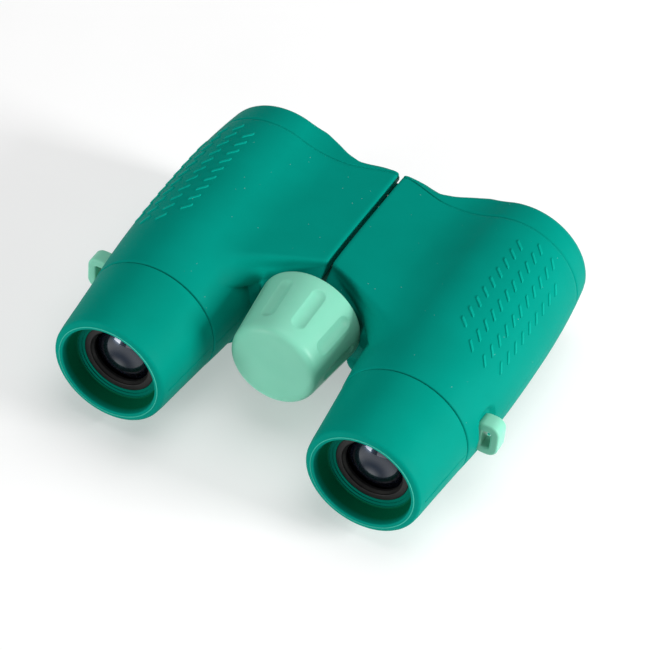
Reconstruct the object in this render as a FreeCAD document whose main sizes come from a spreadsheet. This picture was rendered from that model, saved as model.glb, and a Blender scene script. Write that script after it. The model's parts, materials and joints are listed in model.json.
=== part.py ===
import FreeCAD, Part
import math
import os
import Sketcher
from FreeCAD import Placement, Rotation, Vector

# Children's folding binoculars: two soft-skinned barrels joined by a bridge that
# folds about a centre axle, with one fluted wheel that focuses both barrels.
#
# Lengths along the barrels are measured forward from the eyecup rims, and heights
# from the barrels' own axes. The part's origin is on the surface that the
# binoculars lie on, below the middle of the object. +Y points forward.

SIZES = {
    # Whole object
    "overall_length": 88.0,
    "eyepiece_spacing": 66.0,
    "barrel_r": 18.25,
    "axle_rise": 4.0,
    "hinge_gap": 1.4,
    "fold_angle": 45.0,
    "fold_relief_angle": 1.0,
    "overrun": 5.0,
    # Fits
    "running_fit": 0.05,
    "sliding_fit": 0.08,
    "seat_fit": 0.02,
    "body_clearance": 0.35,
    # Rubber skin and bridge
    "skin_wall": 1.6,
    "seam_station": 21.0,
    "seam_gap": 0.15,
    "bridge_top_drop": 4.25,
    "bridge_rise": 1.4,
    "bridge_bottom_drop": 4.75,
    "saddle_r": 30.0,
    "recess_front": 47.5,
    "recess_side": 36.0,
    "recess_roll": 8.0,
    "bridge_setback": 4.3,
    "notch_setback": 6.0,
    "front_opening_step": 5.25,
    "front_lip": 1.9,
    # Hinge
    "axle_r": 2.0,
    "knuckle_r": 7.0,
    "boss_rear": 38.9,
    "boss_length": 9.8,
    "knuckle_length": 4.2,
    "knuckle_gap": 0.6,
    "washer": 0.5,
    "hinge_setback": 5.7,
    "knuckle_root": 8.5,
    "knuckle_root_height": 8.0,
    "hinge_cap": 1.0,
    "clip_thickness": 0.8,
    "clip_r": 3.7,
    # Rigid chassis of each half
    "collar_rear": 8.5,
    "collar_step": 4.25,
    "core_play": 0.06,
    "tube_bore_end": 37.0,
    "prism_bay_step": 4.85,
    "cell_seat_setback": 16.5,
    "front_ring_seat": 6.0,
    "web_pocket_near": 9.6,
    "web_pocket_floor": 9.0,
    "web_pocket_rear": 50.0,
    "web_pocket_setback": 17.0,
    # Eyecup
    "rim_step": 3.85,
    "rim_crest": 1.35,
    "rim_inner": 2.5,
    "rim_depth": 1.0,
    "cup_throat_r": 9.4,
    "cup_throat_station": 4.8,
    "cup_seam_step": 0.1,
    "cup_shoulder": 3.0,
    "cup_shoulder_step": 3.35,
    "cup_lip": 1.2,
    # Eyepiece
    "tube_r": 12.0,
    "tube_wall": 1.3,
    "tube_stop": 1.2,
    "eye_lens_r": 8.6,
    "eye_lens_edge": 2.4,
    "eye_lens_bulge": 1.0,
    "lens_opening_r": 7.2,
    "eye_ring_r": 9.2,
    "eye_ring_station": 5.3,
    "eye_ring_length": 1.7,
    "lens_spacer": 9.0,
    "lens_spacer_wall": 1.2,
    "field_lens_edge": 2.6,
    "field_lens_bulge": 1.2,
    # Prisms
    "cage_flange": 1.4,
    "cage_width": 16.0,
    "cage_height": 17.4,
    "cage_wall": 1.2,
    "prism_end_play": 0.3,
    "prism_length": 15.0,
    "prism_gap": 0.4,
    "prism_cut_near": 5.0,
    "prism_cut_far": 10.0,
    # Objective
    "cell_setback": 9.0,
    "cell_length": 13.0,
    "cell_step": 6.63,
    "cell_wall": 1.4,
    "cell_land": 0.72,
    "objective_edge": 2.2,
    "objective_bulge": 1.1,
    "objective_seat": 6.0,
    "objective_ring": 1.5,
    "objective_ring_lip": 1.0,
    "front_ring_wall": 1.98,
    "front_ring_recess": 0.6,
    # Focus wheel, screw, nut and arms
    "wheel_rear": 18.0,
    "wheel_face_r": 9.3,
    "wheel_rear_r": 11.2,
    "wheel_rear_round": 2.2,
    "wheel_front_r": 13.2,
    "wheel_front": 37.9,
    "wheel_front_round": 1.4,
    "wheel_wall": 2.2,
    "wheel_hub_wall": 2.0,
    "flute_count": 9,
    "flute_tool_r": 3.4,
    "flute_depth": 0.8,
    "flute_rear": 22.0,
    "flute_front": 35.0,
    "screw_r": 4.0,
    "nut_body_r": 5.2,
    "nut_flange_r": 6.9,
    "nut_flange": 1.0,
    "arm_thickness": 2.4,
    "arm_height": 4.0,
    "focus_travel": 2.5,
    "finger_overlap": 3.0,
    "friction_ring": 0.9,
    "friction_ring_r": 6.2,
    # Strap lugs
    "lug_station": 28.9,
    "lug_thickness": 4.3,
    "lug_height": 9.3,
    "lug_stand": 4.1,
    "lug_sink": 1.0,
    "lug_corner": 2.0,
    "lug_rim": 2.2,
    "lug_eye_width": 2.1,
    "lug_eye_height": 4.7,
    "lug_stem": 4.0,
    "lug_stem_height": 5.0,
}

doc = FreeCAD.newDocument("binoculars")
sheet = doc.addObject("Spreadsheet::Sheet", "sizes")


class Size:
    """A length known as a number and as the sheet's own expression for it."""

    def __init__(self, value, text):
        self.value = value
        self.text = text

    def __add__(self, other):
        other = as_size(other)
        return Size(self.value + other.value, f"({self.text} + {other.text})")

    def __sub__(self, other):
        other = as_size(other)
        return Size(self.value - other.value, f"({self.text} - {other.text})")

    def __mul__(self, other):
        other = as_size(other)
        return Size(self.value * other.value, f"({self.text} * {other.text})")

    def __truediv__(self, other):
        other = as_size(other)
        return Size(self.value / other.value, f"({self.text} / {other.text})")

    def __neg__(self):
        return Size(-self.value, f"(-1 * {self.text})")


def as_size(thing):
    return thing if isinstance(thing, Size) else Size(float(thing), str(thing))


def square_root(size):
    return Size(math.sqrt(size.value), f"sqrt({size.text})")


class Named:
    """Gives each row of the sheet as a Size, by its alias."""

    def __getattr__(self, alias):
        return Size(SIZES[alias], "sizes." + alias)


def fill_sheet():
    for row, (alias, value) in enumerate(SIZES.items(), start=1):
        sheet.set(f"A{row}", alias)
        sheet.set(f"B{row}", str(value))
        sheet.setAlias(f"B{row}", alias)
    doc.recompute()


fill_sheet()
S = Named()
ZERO = Size(0.0, "0")
HALF_SPACING = S.eyepiece_spacing / 2
HALF_GAP = S.hinge_gap / 2
SHIFT = Vector(0, -S.overall_length.value / 2, S.barrel_r.value)

# Stations worked out along the barrels and along the hinge
cup_front = S.seam_station - S.seam_gap
boss_front = S.boss_rear + S.boss_length
hinge_front = S.overall_length - S.hinge_setback
rear_right_knuckle = boss_front + S.knuckle_gap
bay_rear = rear_right_knuckle + S.knuckle_length
front_left_knuckle = hinge_front - S.knuckle_length
front_right_knuckle = front_left_knuckle - S.knuckle_gap - S.knuckle_length
mid_left_knuckle = front_right_knuckle - S.knuckle_gap - S.knuckle_length
bay_front = mid_left_knuckle
nut_middle = (bay_rear + bay_front) / 2
relief_r = S.knuckle_r + S.body_clearance
screw_bore_r = S.screw_r + S.running_fit
axle_bore_r = S.axle_r + S.running_fit
eye_clear_r = S.lens_opening_r - S.seat_fit
lug_stem_half_thick = S.lug_thickness / 3
prism_bay_end = S.overall_length - S.cell_seat_setback
cell_bore_end = S.overall_length - S.front_ring_seat
cell_rear = S.overall_length - S.cell_setback - S.cell_length
web_pocket_front = S.overall_length - S.web_pocket_setback

# Radii worked out from the barrel's
bridge_top = S.barrel_r - S.bridge_top_drop
bridge_bottom = S.barrel_r - S.bridge_bottom_drop
front_opening_r = S.barrel_r - S.front_opening_step
collar_r = S.barrel_r - S.collar_step
prism_bay_r = S.barrel_r - S.prism_bay_step
rim_r = S.barrel_r - S.rim_step
rim_crest_r = rim_r - S.rim_crest
rim_inner_r = rim_r - S.rim_inner
cup_shoulder_r = S.barrel_r - S.cup_shoulder_step
cell_r = S.barrel_r - S.cell_step
objective_r = cell_r - S.cell_land
objective_clear_r = objective_r - S.objective_ring_lip - S.seat_fit
front_ring_bore_r = front_opening_r - S.seat_fit - S.front_ring_wall


def bind(thing, values):
    for prop, length in values.items():
        thing.setExpression(prop, as_size(length).text)


def placed(thing, x, y, z):
    """Ties a piece's place to the sheet, in the part's own frame."""
    bind(thing, {
        ".Placement.Base.x": x,
        ".Placement.Base.y": y - S.overall_length / 2,
        ".Placement.Base.z": z + S.barrel_r,
    })
    return thing


def origin_plane(body, role):
    return next(f for f in body.Origin.OriginFeatures if f.Role == role)


def pin_point(sketch, geometry, point, at):
    """Holds one sketch point at its distance from the axis and at its station."""
    vertical_axis, level_axis = -2, -1
    rows = (("DistanceX", vertical_axis, at[0]), ("DistanceY", level_axis, at[1]))
    for kind, axis, length in rows:
        if length.text == ZERO.text:
            sketch.addConstraint(Sketcher.Constraint("PointOnObject", geometry, point, axis))
            continue
        index = sketch.addConstraint(
            Sketcher.Constraint(kind, -1, 1, geometry, point, length.value))
        sketch.setExpression(f"Constraints[{index}]", length.text)


def draw_outline(sketch, outline):
    """Draws a closed outline. A third item in a point is a point on the arc to it."""
    flat = [Vector(entry[0].value, entry[1].value, 0) for entry in outline]
    count = len(outline)
    edges = []
    for i, entry in enumerate(outline):
        start, end = flat[i - 1], flat[i]
        if len(entry) == 3:
            middle = Vector(entry[2][0].value, entry[2][1].value, 0)
            arc = Part.Arc(start, middle, end)
            edge = sketch.addGeometry(arc, False)
            drawn = sketch.Geometry[edge]
            to_start = drawn.StartPoint.distanceToPoint(start)
            kept_way = to_start < drawn.EndPoint.distanceToPoint(start)
            edges.append((edge, 1, 2) if kept_way else (edge, 2, 1))
        else:
            edge = sketch.addGeometry(Part.LineSegment(start, end), False)
            edges.append((edge, 1, 2))
    for i in range(count):
        geometry, _, last = edges[i]
        following, first, _ = edges[(i + 1) % count]
        sketch.addConstraint(
            Sketcher.Constraint("Coincident", geometry, last, following, first))
    for i, entry in enumerate(outline):
        geometry, _, last = edges[i]
        pin_point(sketch, geometry, last, entry)
        if len(entry) == 3:
            on_arc = sketch.addGeometry(
                Part.Point(Vector(entry[2][0].value, entry[2][1].value, 0)), True)
            sketch.addConstraint(
                Sketcher.Constraint("PointOnObject", on_arc, 1, geometry))
            pin_point(sketch, on_arc, 1, entry[2])


def turned(label, x, z, outline):
    """A body turned about an axis along Y. Its outline is (radius, station) points."""
    body = doc.addObject("PartDesign::Body", label)
    sketch = body.newObject("Sketcher::SketchObject", label + "_outline")
    sketch.AttachmentSupport = [(origin_plane(body, "XY_Plane"), "")]
    sketch.MapMode = "FlatFace"
    draw_outline(sketch, outline)
    turn = body.newObject("PartDesign::Revolution", label + "_turn")
    turn.Profile = sketch
    turn.ReferenceAxis = (sketch, ["V_Axis"])
    turn.Angle = 360
    body.Tip = turn
    return placed(body, x, ZERO, z)


ROUND_SHARE = 0.3


def corner_round(flat, edge):
    """The middle of the round between a flat end's last point and a side's first."""
    return (edge[0] + (flat[0] - edge[0]) * ROUND_SHARE,
            flat[1] + (edge[1] - flat[1]) * ROUND_SHARE)


def box(label, x, y, z):
    """A block between low and high values on each axis."""
    block = doc.addObject("Part::Box", label)
    bind(block, {"Length": x[1] - x[0], "Width": y[1] - y[0], "Height": z[1] - z[0]})
    return placed(block, x[0], y[0], z[0])


def rod(label, radius, y, x, z):
    """A cylinder along Y between two stations."""
    cylinder = doc.addObject("Part::Cylinder", label)
    bind(cylinder, {"Radius": radius, "Height": y[1] - y[0]})
    cylinder.Placement = Placement(Vector(), Rotation(Vector(1, 0, 0), -90))
    return placed(cylinder, x, y[0], z)


def fused(label, *pieces):
    joined = doc.addObject("Part::MultiFuse", label)
    joined.Shapes = list(pieces)
    return joined


def cut(label, base, *tools):
    result = doc.addObject("Part::Cut", label)
    result.Base = base
    result.Tool = tools[0] if len(tools) == 1 else fused(label + "_tools", *tools)
    return result


def shared(label, first, second):
    result = doc.addObject("Part::Common", label)
    result.Base = first
    result.Tool = second
    return result


def feature(label, shape):
    """A sub-part whose shape is worked out from the sheet's values."""
    thing = doc.addObject("Part::Feature", label)
    thing.Shape = shape
    thing.Placement = Placement(SHIFT, Rotation())
    return thing


def sided(side, low, high):
    """An X range, given outward from the middle, on one side of the object."""
    return (low, high) if side > 0 else (-high, -low)


# Outer form of one half

# Each row gives a station along the barrel and the barrel's radius there, as
# shares of the overall length and of the largest barrel radius.
BARREL_SHARES = [
    (0.239, 0.904), (0.284, 0.926), (0.341, 0.953), (0.409, 0.975), (0.477, 0.990),
    (0.545, 0.998), (0.602, 1.000), (0.682, 0.999), (0.773, 0.991), (0.852, 0.966),
    (0.909, 0.940), (0.955, 0.911), (0.980, 0.880), (0.991, 0.855), (1.000, 0.810),
]
# Stations where the half's outline is drawn, as shares of the overall length:
# close together where the bridge grows out of the barrel, and at the front edge.
STATION_SHARES = [
    0.239, 0.284, 0.330, 0.364, 0.386, 0.403, 0.420, 0.435, 0.449, 0.463, 0.477, 0.491,
    0.506, 0.520, 0.534, 0.551, 0.580, 0.648, 0.727, 0.807, 0.875, 0.932, 0.972, 0.991, 1.000,
]
LOFT_DEGREE = 2
ARM_REACH_SHARE = 1.3
# How the recess's edge turns back as it leaves the hinge: where this starts, over
# how many degrees round the barrel, and how quickly
SPREAD_START = 23.0
SPREAD_SPAN = 47.0
SPREAD_RATE = 2.35


def smooth(share):
    share = min(1.0, max(0.0, share))
    return share * share * (3.0 - 2.0 * share)


def barrel_radius(station):
    """The barrel's outer radius at a station, along straight runs between the rows."""
    length, largest = S.overall_length.value, S.barrel_r.value
    rows = [(y * length, r * largest) for y, r in BARREL_SHARES]
    if station <= rows[0][0]:
        return rows[0][1]
    for (y0, r0), (y1, r1) in zip(rows, rows[1:]):
        if station <= y1:
            return r0 + (r1 - r0) * (station - y0) / (y1 - y0)
    return rows[-1][1]


def barrel_size(station):
    """The barrel's radius at a station, tied to its largest radius."""
    return S.barrel_r * (barrel_radius(station.value) / S.barrel_r.value)


cup_seam_r = barrel_size(S.seam_station) - S.cup_seam_step
lug_root = HALF_SPACING + barrel_size(S.lug_station) - S.lug_sink
lug_reach = lug_root + S.lug_sink + S.lug_stand


class HalfSection:
    """The outline of the right half at one station, drawn inward by an offset.

    The bridge is an arm that grows out of the barrel's circle towards the hinge.
    Its flat top and bottom run into the circle through arcs tangent to both.
    """

    def __init__(self, station, offset):
        self.station = station
        self.offset = offset
        self.barrel = barrel_radius(station) - offset
        self.saddle = S.saddle_r.value + offset
        self.reach = HALF_SPACING.value * ARM_REACH_SHARE

    def half_height(self, above):
        """The bridge's top rises from its front towards the recess. Its bottom is flat."""
        if not above:
            return bridge_bottom.value - self.offset
        length = S.overall_length.value
        share = smooth((length - self.station) / (length - S.recess_front.value))
        return bridge_top.value + S.bridge_rise.value * share - self.offset

    def arc_centre(self, height):
        centre_z = height + self.saddle
        return -math.sqrt((self.barrel + self.saddle) ** 2 - centre_z ** 2), centre_z

    def corner_angles(self, above):
        """Where the arc leaves the circle, where it meets the flat, and the arm's corner."""
        height = self.half_height(above)
        x, z = self.arc_centre(height)
        return math.atan2(z, x), math.atan2(height, x), math.atan2(height, -self.reach)

    def full_radius(self, angle, above):
        """Distance from the barrel's axis to the full-grown bridge's surface."""
        leaves, meets, corner = self.corner_angles(above)
        height = self.half_height(above)
        if angle <= leaves:
            return self.barrel
        if angle <= meets:
            x, z = self.arc_centre(height)
            along = math.cos(angle) * x + math.sin(angle) * z
            return along - math.sqrt(along ** 2 - x ** 2 - z ** 2 + self.saddle ** 2)
        if angle <= corner:
            return height / math.sin(angle)
        return -self.reach / math.cos(angle)

    def growth(self, angle):
        """How far the bridge has grown out of the barrel here, from 0 to 1."""
        turn = (180.0 - math.degrees(angle) - SPREAD_START) / SPREAD_SPAN
        turn = min(1.0, max(0.0, turn))
        side_share = (1 - math.exp(-SPREAD_RATE * turn)) / (1 - math.exp(-SPREAD_RATE))
        end = S.recess_front.value + self.offset
        end -= (S.recess_front.value - S.recess_side.value) * side_share
        return smooth((self.station - end + S.recess_roll.value) / S.recess_roll.value)

    def point(self, turn):
        above = turn <= math.pi
        angle = turn if above else 2.0 * math.pi - turn
        grown = self.full_radius(angle, above) - self.barrel
        radius = self.barrel + self.growth(angle) * grown
        return Vector(HALF_SPACING.value + radius * math.cos(turn), self.station,
                      radius * math.sin(turn))

    def wire(self):
        """Seven edges, each through its ends and the point halfway round between them."""
        whole = 2.0 * math.pi
        top = self.corner_angles(True)
        low = [whole - angle for angle in reversed(self.corner_angles(False))]
        turns = [0.0, *top, *low, whole]
        ends = [self.point(turn) for turn in turns[:-1]]
        ends.append(ends[0])
        edges = []
        for i in range(len(turns) - 1):
            middle = self.point((turns[i] + turns[i + 1]) / 2.0)
            chord = ends[i + 1] - ends[i]
            if middle.distanceToLine(ends[i], chord) < S.seat_fit.value / 2.0:
                edges.append(Part.makeLine(ends[i], ends[i + 1]))
            else:
                edges.append(Part.Arc(ends[i], middle, ends[i + 1]).toShape())
        return Part.Wire(edges)


def half_form(offset, rear_extra=0.0, front_trim=0.0):
    """The right half's form, drawn inward by offset, longer behind, shorter in front."""
    length = S.overall_length.value
    stations = [share * length for share in STATION_SHARES]
    if front_trim:
        front = length - front_trim
        stations = [y for y in stations if y < front - S.skin_wall.value] + [front]
    if rear_extra:
        stations.insert(0, stations[0] - rear_extra)
    wires = [HalfSection(y, offset).wire() for y in stations]
    return Part.makeLoft(wires, True, False, False, LOFT_DEGREE)


def front_cut():
    """Takes the bridge's front edge back from the barrels' fronts, in plan."""
    front = S.overall_length.value
    spacing = HALF_SPACING.value
    spare = S.overrun.value
    setback, notch = S.bridge_setback.value, S.notch_setback.value
    plan_shares = [(0.0, setback), (0.13, setback), (0.31, notch), (0.43, notch * 0.85),
                   (0.56, notch * 0.4), (0.66, 0.0)]
    points = [Vector(share * spacing, front - back, 0) for share, back in plan_shares]
    curve = Part.BSplineCurve()
    curve.interpolate(points)
    inner = Vector(0, front + spare, 0)
    outer = Vector(points[-1].x, front + spare, 0)
    wire = Part.Wire([
        curve.toShape(), Part.makeLine(points[-1], outer),
        Part.makeLine(outer, inner), Part.makeLine(inner, points[0])])
    plate = Part.Face(wire)
    plate.translate(Vector(0, 0, -S.barrel_r.value - spare))
    return plate.extrude(Vector(0, 0, 2 * (S.barrel_r.value + spare)))


def only_solid(shape):
    """Unwraps a boolean's result, which has to be one solid."""
    if len(shape.Solids) != 1:
        raise RuntimeError(f"{len(shape.Solids)} solids where one was due")
    return shape.Solids[0]


def hinge_side_cuts():
    """Everything on the far side of the hinge gap, and the wedge that lets it fold."""
    gap = HALF_GAP.value
    spare = S.overrun.value
    length = S.overall_length.value + 2 * spare
    reach = HALF_SPACING.value
    height = S.barrel_r.value + spare
    past = Part.makeBox(reach, length, 2 * height, Vector(gap - reach, -spare, -height))
    axis_z = S.axle_rise.value
    angle = S.fold_angle.value / 2 + S.fold_relief_angle.value
    corner = Vector(gap - reach, -spare, axis_z - 2 * height)
    wedge = Part.makeBox(reach, length, 2 * height, corner)
    wedge.rotate(Vector(gap, 0, axis_z), Vector(0, 1, 0), -angle)
    return past, wedge


def around_axle(radius, rear, front):
    return Part.makeCylinder(
        radius, front - rear, Vector(0, rear, S.axle_rise.value), Vector(0, 1, 0))


def in_barrel(radius, rear, front):
    return Part.makeCylinder(
        radius, front - rear, Vector(HALF_SPACING.value, rear, 0), Vector(0, 1, 0))


def block(x, y, z):
    return Part.makeBox(
        x[1] - x[0], y[1] - y[0], z[1] - z[0], Vector(x[0], y[0], z[0]))


def around_lug(root, half_thick, half_high):
    """A hole in the right half for the strap lug, with a seat's clearance all round."""
    spare = S.seat_fit.value
    station = S.lug_station.value
    return block((root.value - spare, lug_reach.value),
                 (station - half_thick.value - spare, station + half_thick.value + spare),
                 (-half_high.value - spare, half_high.value + spare))


def lug_socket():
    return around_lug(lug_root - S.lug_stem, lug_stem_half_thick, S.lug_stem_height / 2)


def lug_seat():
    return around_lug(lug_root, S.lug_thickness / 2, S.lug_height / 2)


def on_side(shape, side):
    """Mirrors a right-hand shape for the left half."""
    return shape if side > 0 else shape.mirror(Vector(), Vector(1, 0, 0))


def right_inside(play):
    """The space inside the right half's skin, drawn further inward by some play."""
    return half_form(S.skin_wall.value + play, S.overrun.value, S.front_lip.value + play)


def hinge_relief():
    return around_axle(relief_r.value, S.recess_side.value,
                       S.overall_length.value + S.overrun.value)


def right_skin():
    """The soft skin of the right half: a wall that is open to the hinge and behind."""
    spare = S.overrun.value
    front = S.overall_length.value
    shell = half_form(0.0)
    for tool in (
        *hinge_side_cuts(),
        front_cut(),
        hinge_relief(),
        right_inside(0.0),
        in_barrel(front_opening_r.value, front - spare, front + spare),
        lug_socket(),
        lug_seat(),
    ):
        shell = shell.cut(tool)
    return only_solid(shell)


def boss_opening():
    """Lets the root of the left half's rear boss through the recess's wall."""
    spare = S.seat_fit.value
    half_high = S.knuckle_root_height.value / 2 + spare
    middle = S.axle_rise.value
    return block((0.0, S.knuckle_root.value + spare),
                 (S.boss_rear.value - spare, boss_front.value + spare),
                 (middle - half_high, middle + half_high))


def skin(side, shell):
    """A half's skin, mirrored for the left, which opens for the rear boss."""
    if side < 0:
        shell = only_solid(shell.cut(boss_opening()))
    return on_side(shell, side)


def knuckle(rear, length, bore):
    """One hinge knuckle of the right half, with its root in the bridge."""
    front = rear + length
    ring = around_axle(S.knuckle_r.value, rear, front)
    middle = S.axle_rise.value
    half_high = S.knuckle_root_height.value / 2
    root = block((S.axle_r.value, S.knuckle_root.value), (rear, front),
                 (middle - half_high, middle + half_high))
    spare = S.overrun.value
    return ring.fuse(root).cut(around_axle(bore, rear - spare, front + spare))


def knuckles(side):
    length = S.knuckle_length.value
    fixed_bore = S.axle_r.value + S.seat_fit.value
    if side > 0:
        rows = [(rear_right_knuckle.value, length, screw_bore_r.value),
                (front_right_knuckle.value, length, axle_bore_r.value)]
    else:
        rows = [(S.boss_rear.value, S.boss_length.value, screw_bore_r.value),
                (mid_left_knuckle.value, length, fixed_bore),
                (front_left_knuckle.value, length, fixed_bore)]
    return [knuckle(*row) for row in rows]


def bores_and_pockets():
    """Bores for the eyepiece tube, prisms, cell and front ring, and the web's pockets."""
    spare = S.overrun.value
    front = S.overall_length.value + spare
    bay_end = prism_bay_end.value
    rows = [
        (S.tube_r.value + S.seat_fit.value, -spare, bay_end),
        (prism_bay_r.value, S.tube_bore_end.value, bay_end),
        (cell_r.value + S.sliding_fit.value, bay_end - spare, front),
        (front_opening_r.value, cell_bore_end.value, front),
    ]
    return [in_barrel(*row) for row in rows] + [arm_slot(), web_pocket()]


def arm_slot():
    """The way for the focus arm, from the hinge into the barrel."""
    reach = S.focus_travel.value + S.arm_thickness.value + 2 * S.body_clearance.value
    half_high = S.arm_height.value / 2 + S.body_clearance.value
    middle = nut_middle.value
    return block((0.0, HALF_SPACING.value - cell_r.value),
                 (middle - reach, middle + reach),
                 (S.axle_rise.value - half_high, S.axle_rise.value + half_high))


def web_pocket():
    """Hollows out the bridge below the arm slot, as a moulding would be."""
    roof = S.axle_rise.value - S.arm_height.value / 2 - S.skin_wall.value
    return block((S.web_pocket_near.value, HALF_SPACING.value - S.tube_r.value),
                 (S.web_pocket_rear.value, web_pocket_front.value),
                 (-S.web_pocket_floor.value, roof))


def right_core():
    """The rigid form that fills the skin, bored and pocketed, before its knuckles."""
    inside = right_inside(S.core_play.value)
    front = S.overall_length.value
    wide = S.barrel_r.value * 2
    rear = S.seam_station.value + S.seam_gap.value
    behind = block((-wide, wide * 2), (-front, rear), (-wide, wide))
    core = inside.cut(behind)
    core = core.fuse(in_barrel(collar_r.value, S.collar_rear.value, rear + S.skin_wall.value))
    for tool in (
        *hinge_side_cuts(),
        front_cut(),
        hinge_relief(),
        *bores_and_pockets(),
        lug_socket(),
        lug_seat(),
    ):
        core = core.cut(tool)
    return only_solid(core)


def chassis(side, core):
    """A half's rigid body: the core, mirrored for the left, with its own knuckles."""
    body = core
    for piece in knuckles(side):
        body = body.fuse(piece)
    return on_side(only_solid(body), side)


# Turned pieces of one barrel


def axis_of(side):
    return HALF_SPACING if side > 0 else -HALF_SPACING


def eyecup(name, side):
    """Soft cup: a rounded rim, a stepped throat, and a sleeve over the collar."""
    sleeve_r = collar_r + S.seat_fit
    tube_rest_r = S.tube_r + S.seat_fit
    lip = S.cup_throat_station + S.cup_lip
    crest = (rim_crest_r, ZERO)
    outside = (rim_r, S.rim_depth)
    inside = (rim_inner_r, S.rim_depth)
    return turned(name, axis_of(side), ZERO, [
        (*crest, corner_round(crest, inside)),
        (*outside, corner_round(crest, outside)),
        (cup_shoulder_r, S.cup_shoulder),
        (cup_seam_r, cup_front),
        (sleeve_r, cup_front),
        (sleeve_r, S.collar_rear),
        (tube_rest_r, S.collar_rear),
        (tube_rest_r, lip),
        (S.cup_throat_r, lip),
        (S.cup_throat_r, S.cup_throat_station),
        inside,
    ])


def eyepiece_tube(name, side):
    rear = S.cup_throat_station + S.cup_lip + S.seat_fit
    lens_front = field_lens_front()
    bore = S.tube_r - S.tube_wall
    lens_bore = S.eye_lens_r + S.seat_fit
    stop_r = lens_bore - S.tube_stop
    return turned(name, axis_of(side), ZERO, [
        (S.eye_ring_r + S.seat_fit, rear),
        (S.tube_r, rear),
        (S.tube_r, S.tube_bore_end),
        (bore, S.tube_bore_end),
        (bore, lens_front + S.tube_stop),
        (stop_r, lens_front + S.tube_stop),
        (stop_r, lens_front),
        (lens_bore, lens_front),
        (lens_bore, eye_lens_rear()),
        (S.eye_ring_r + S.seat_fit, eye_lens_rear()),
    ])


def eye_lens_rear():
    return S.eye_ring_station + S.eye_ring_length


def field_lens_rear():
    return eye_lens_rear() + S.eye_lens_edge + S.lens_spacer


def field_lens_front():
    return field_lens_rear() + S.field_lens_edge


def lens(name, side, radius, clear_r, rear, edge, bulge):
    """A lens with both faces crowned inside a flat rim that its seats hold."""
    front = rear + edge
    face_r = (clear_r * clear_r + bulge * bulge) / (bulge * 2)
    half_way = clear_r / 2
    rise = square_root(face_r * face_r - half_way * half_way) - face_r + bulge
    return turned(name, axis_of(side), ZERO, [
        (ZERO, rear - bulge),
        (clear_r, rear, (half_way, rear - rise)),
        (radius, rear),
        (radius, front),
        (clear_r, front),
        (ZERO, front + bulge, (half_way, front + rise)),
    ])


def ring(name, side, inner, outer, rear, front):
    return turned(name, axis_of(side), ZERO, [
        (inner, rear), (outer, rear), (outer, front), (inner, front)])


def objective_cell(name, side):
    front = cell_rear + S.cell_length
    seat = front - S.objective_seat
    bore = cell_r - S.cell_wall
    return turned(name, axis_of(side), ZERO, [
        (bore, cell_rear),
        (cell_r, cell_rear),
        (cell_r, front),
        (objective_r + S.seat_fit, front),
        (objective_r + S.seat_fit, seat),
        (bore, seat),
    ])


def objective_lens_rear():
    return cell_rear + S.cell_length - S.objective_seat


# Prisms and their cage


def prism_cage(name, side):
    middle = axis_of(side)
    rear = S.tube_bore_end
    front = rear + S.cage_flange + S.prism_length + S.prism_end_play * 2 + S.cage_wall
    inside = S.cage_wall
    shell = box(name + "_walls",
                (middle - S.cage_width / 2, middle + S.cage_width / 2), (rear, front),
                (-(S.cage_height / 2), S.cage_height / 2))
    flange = rod(name + "_flange", prism_bay_r - S.seat_fit, (rear, rear + S.cage_flange),
                 middle, ZERO)
    room = box(name + "_room",
               (middle - S.cage_width / 2 + inside, middle + S.cage_width / 2 - inside),
               (rear + S.cage_flange, front - S.cage_wall),
               (-(S.cage_height / 2) + inside, S.cage_height / 2 - inside))
    way = rod(name + "_way", S.cage_width / 2 - inside * 2,
              (rear - S.overrun, front + S.overrun), middle, ZERO)
    return cut(name, fused(name + "_solid", shell, flange), room, way)


def prism(name, side, is_front):
    """One of the two glass blocks, parted by a sloping air gap."""
    rear = S.tube_bore_end + S.cage_flange + S.prism_end_play
    half_width = (S.cage_width / 2 - S.cage_wall - S.seat_fit).value
    half_height = (S.cage_height / 2 - S.cage_wall - S.seat_fit).value
    start, end = rear.value, (rear + S.prism_length).value
    near, far = S.prism_cut_near.value, S.prism_cut_far.value
    if is_front:
        gap = S.prism_gap.value
        corners = [(start + near + gap, half_height), (end, half_height),
                   (end, -half_height), (start + far + gap, -half_height)]
    else:
        corners = [(start, half_height), (start + near, half_height),
                   (start + far, -half_height), (start, -half_height)]
    middle = axis_of(side).value
    points = [Vector(middle - half_width, y, z) for y, z in corners]
    face = Part.Face(Part.makePolygon(points + points[:1]))
    return feature(name, face.extrude(Vector(2 * half_width, 0, 0)))


# Focus arms and strap lugs


def focus_arm(name, side):
    """A ring on the focus nut, a bar into the barrel and a finger on the cell."""
    middle = nut_middle
    rear = middle if side > 0 else middle - S.arm_thickness
    front = rear + S.arm_thickness
    low, high = S.axle_rise - S.arm_height / 2, S.axle_rise + S.arm_height / 2
    finger_front = cell_rear + S.finger_overlap
    outer_r = prism_bay_r - S.body_clearance
    bar = box(name + "_bar", sided(side, S.nut_body_r, HALF_SPACING), (rear, front), (low, high))
    finger = box(name + "_finger", sided(side, HALF_SPACING - outer_r, HALF_SPACING),
                 (rear, finger_front), (low, high))
    eye = rod(name + "_eye", S.nut_flange_r, (rear, front), ZERO, S.axle_rise)
    bore = rod(name + "_bore", S.nut_body_r + S.running_fit,
               (rear - S.overrun, front + S.overrun), ZERO, S.axle_rise)
    clear = rod(name + "_clear", cell_r + S.seat_fit,
                (rear - S.overrun, finger_front + S.overrun), axis_of(side), ZERO)
    barrel = rod(name + "_barrel", outer_r, (rear, finger_front), axis_of(side), ZERO)
    hooked = shared(name + "_hook", finger, barrel)
    return cut(name, fused(name + "_solid", bar, hooked, eye), bore, clear)


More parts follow.
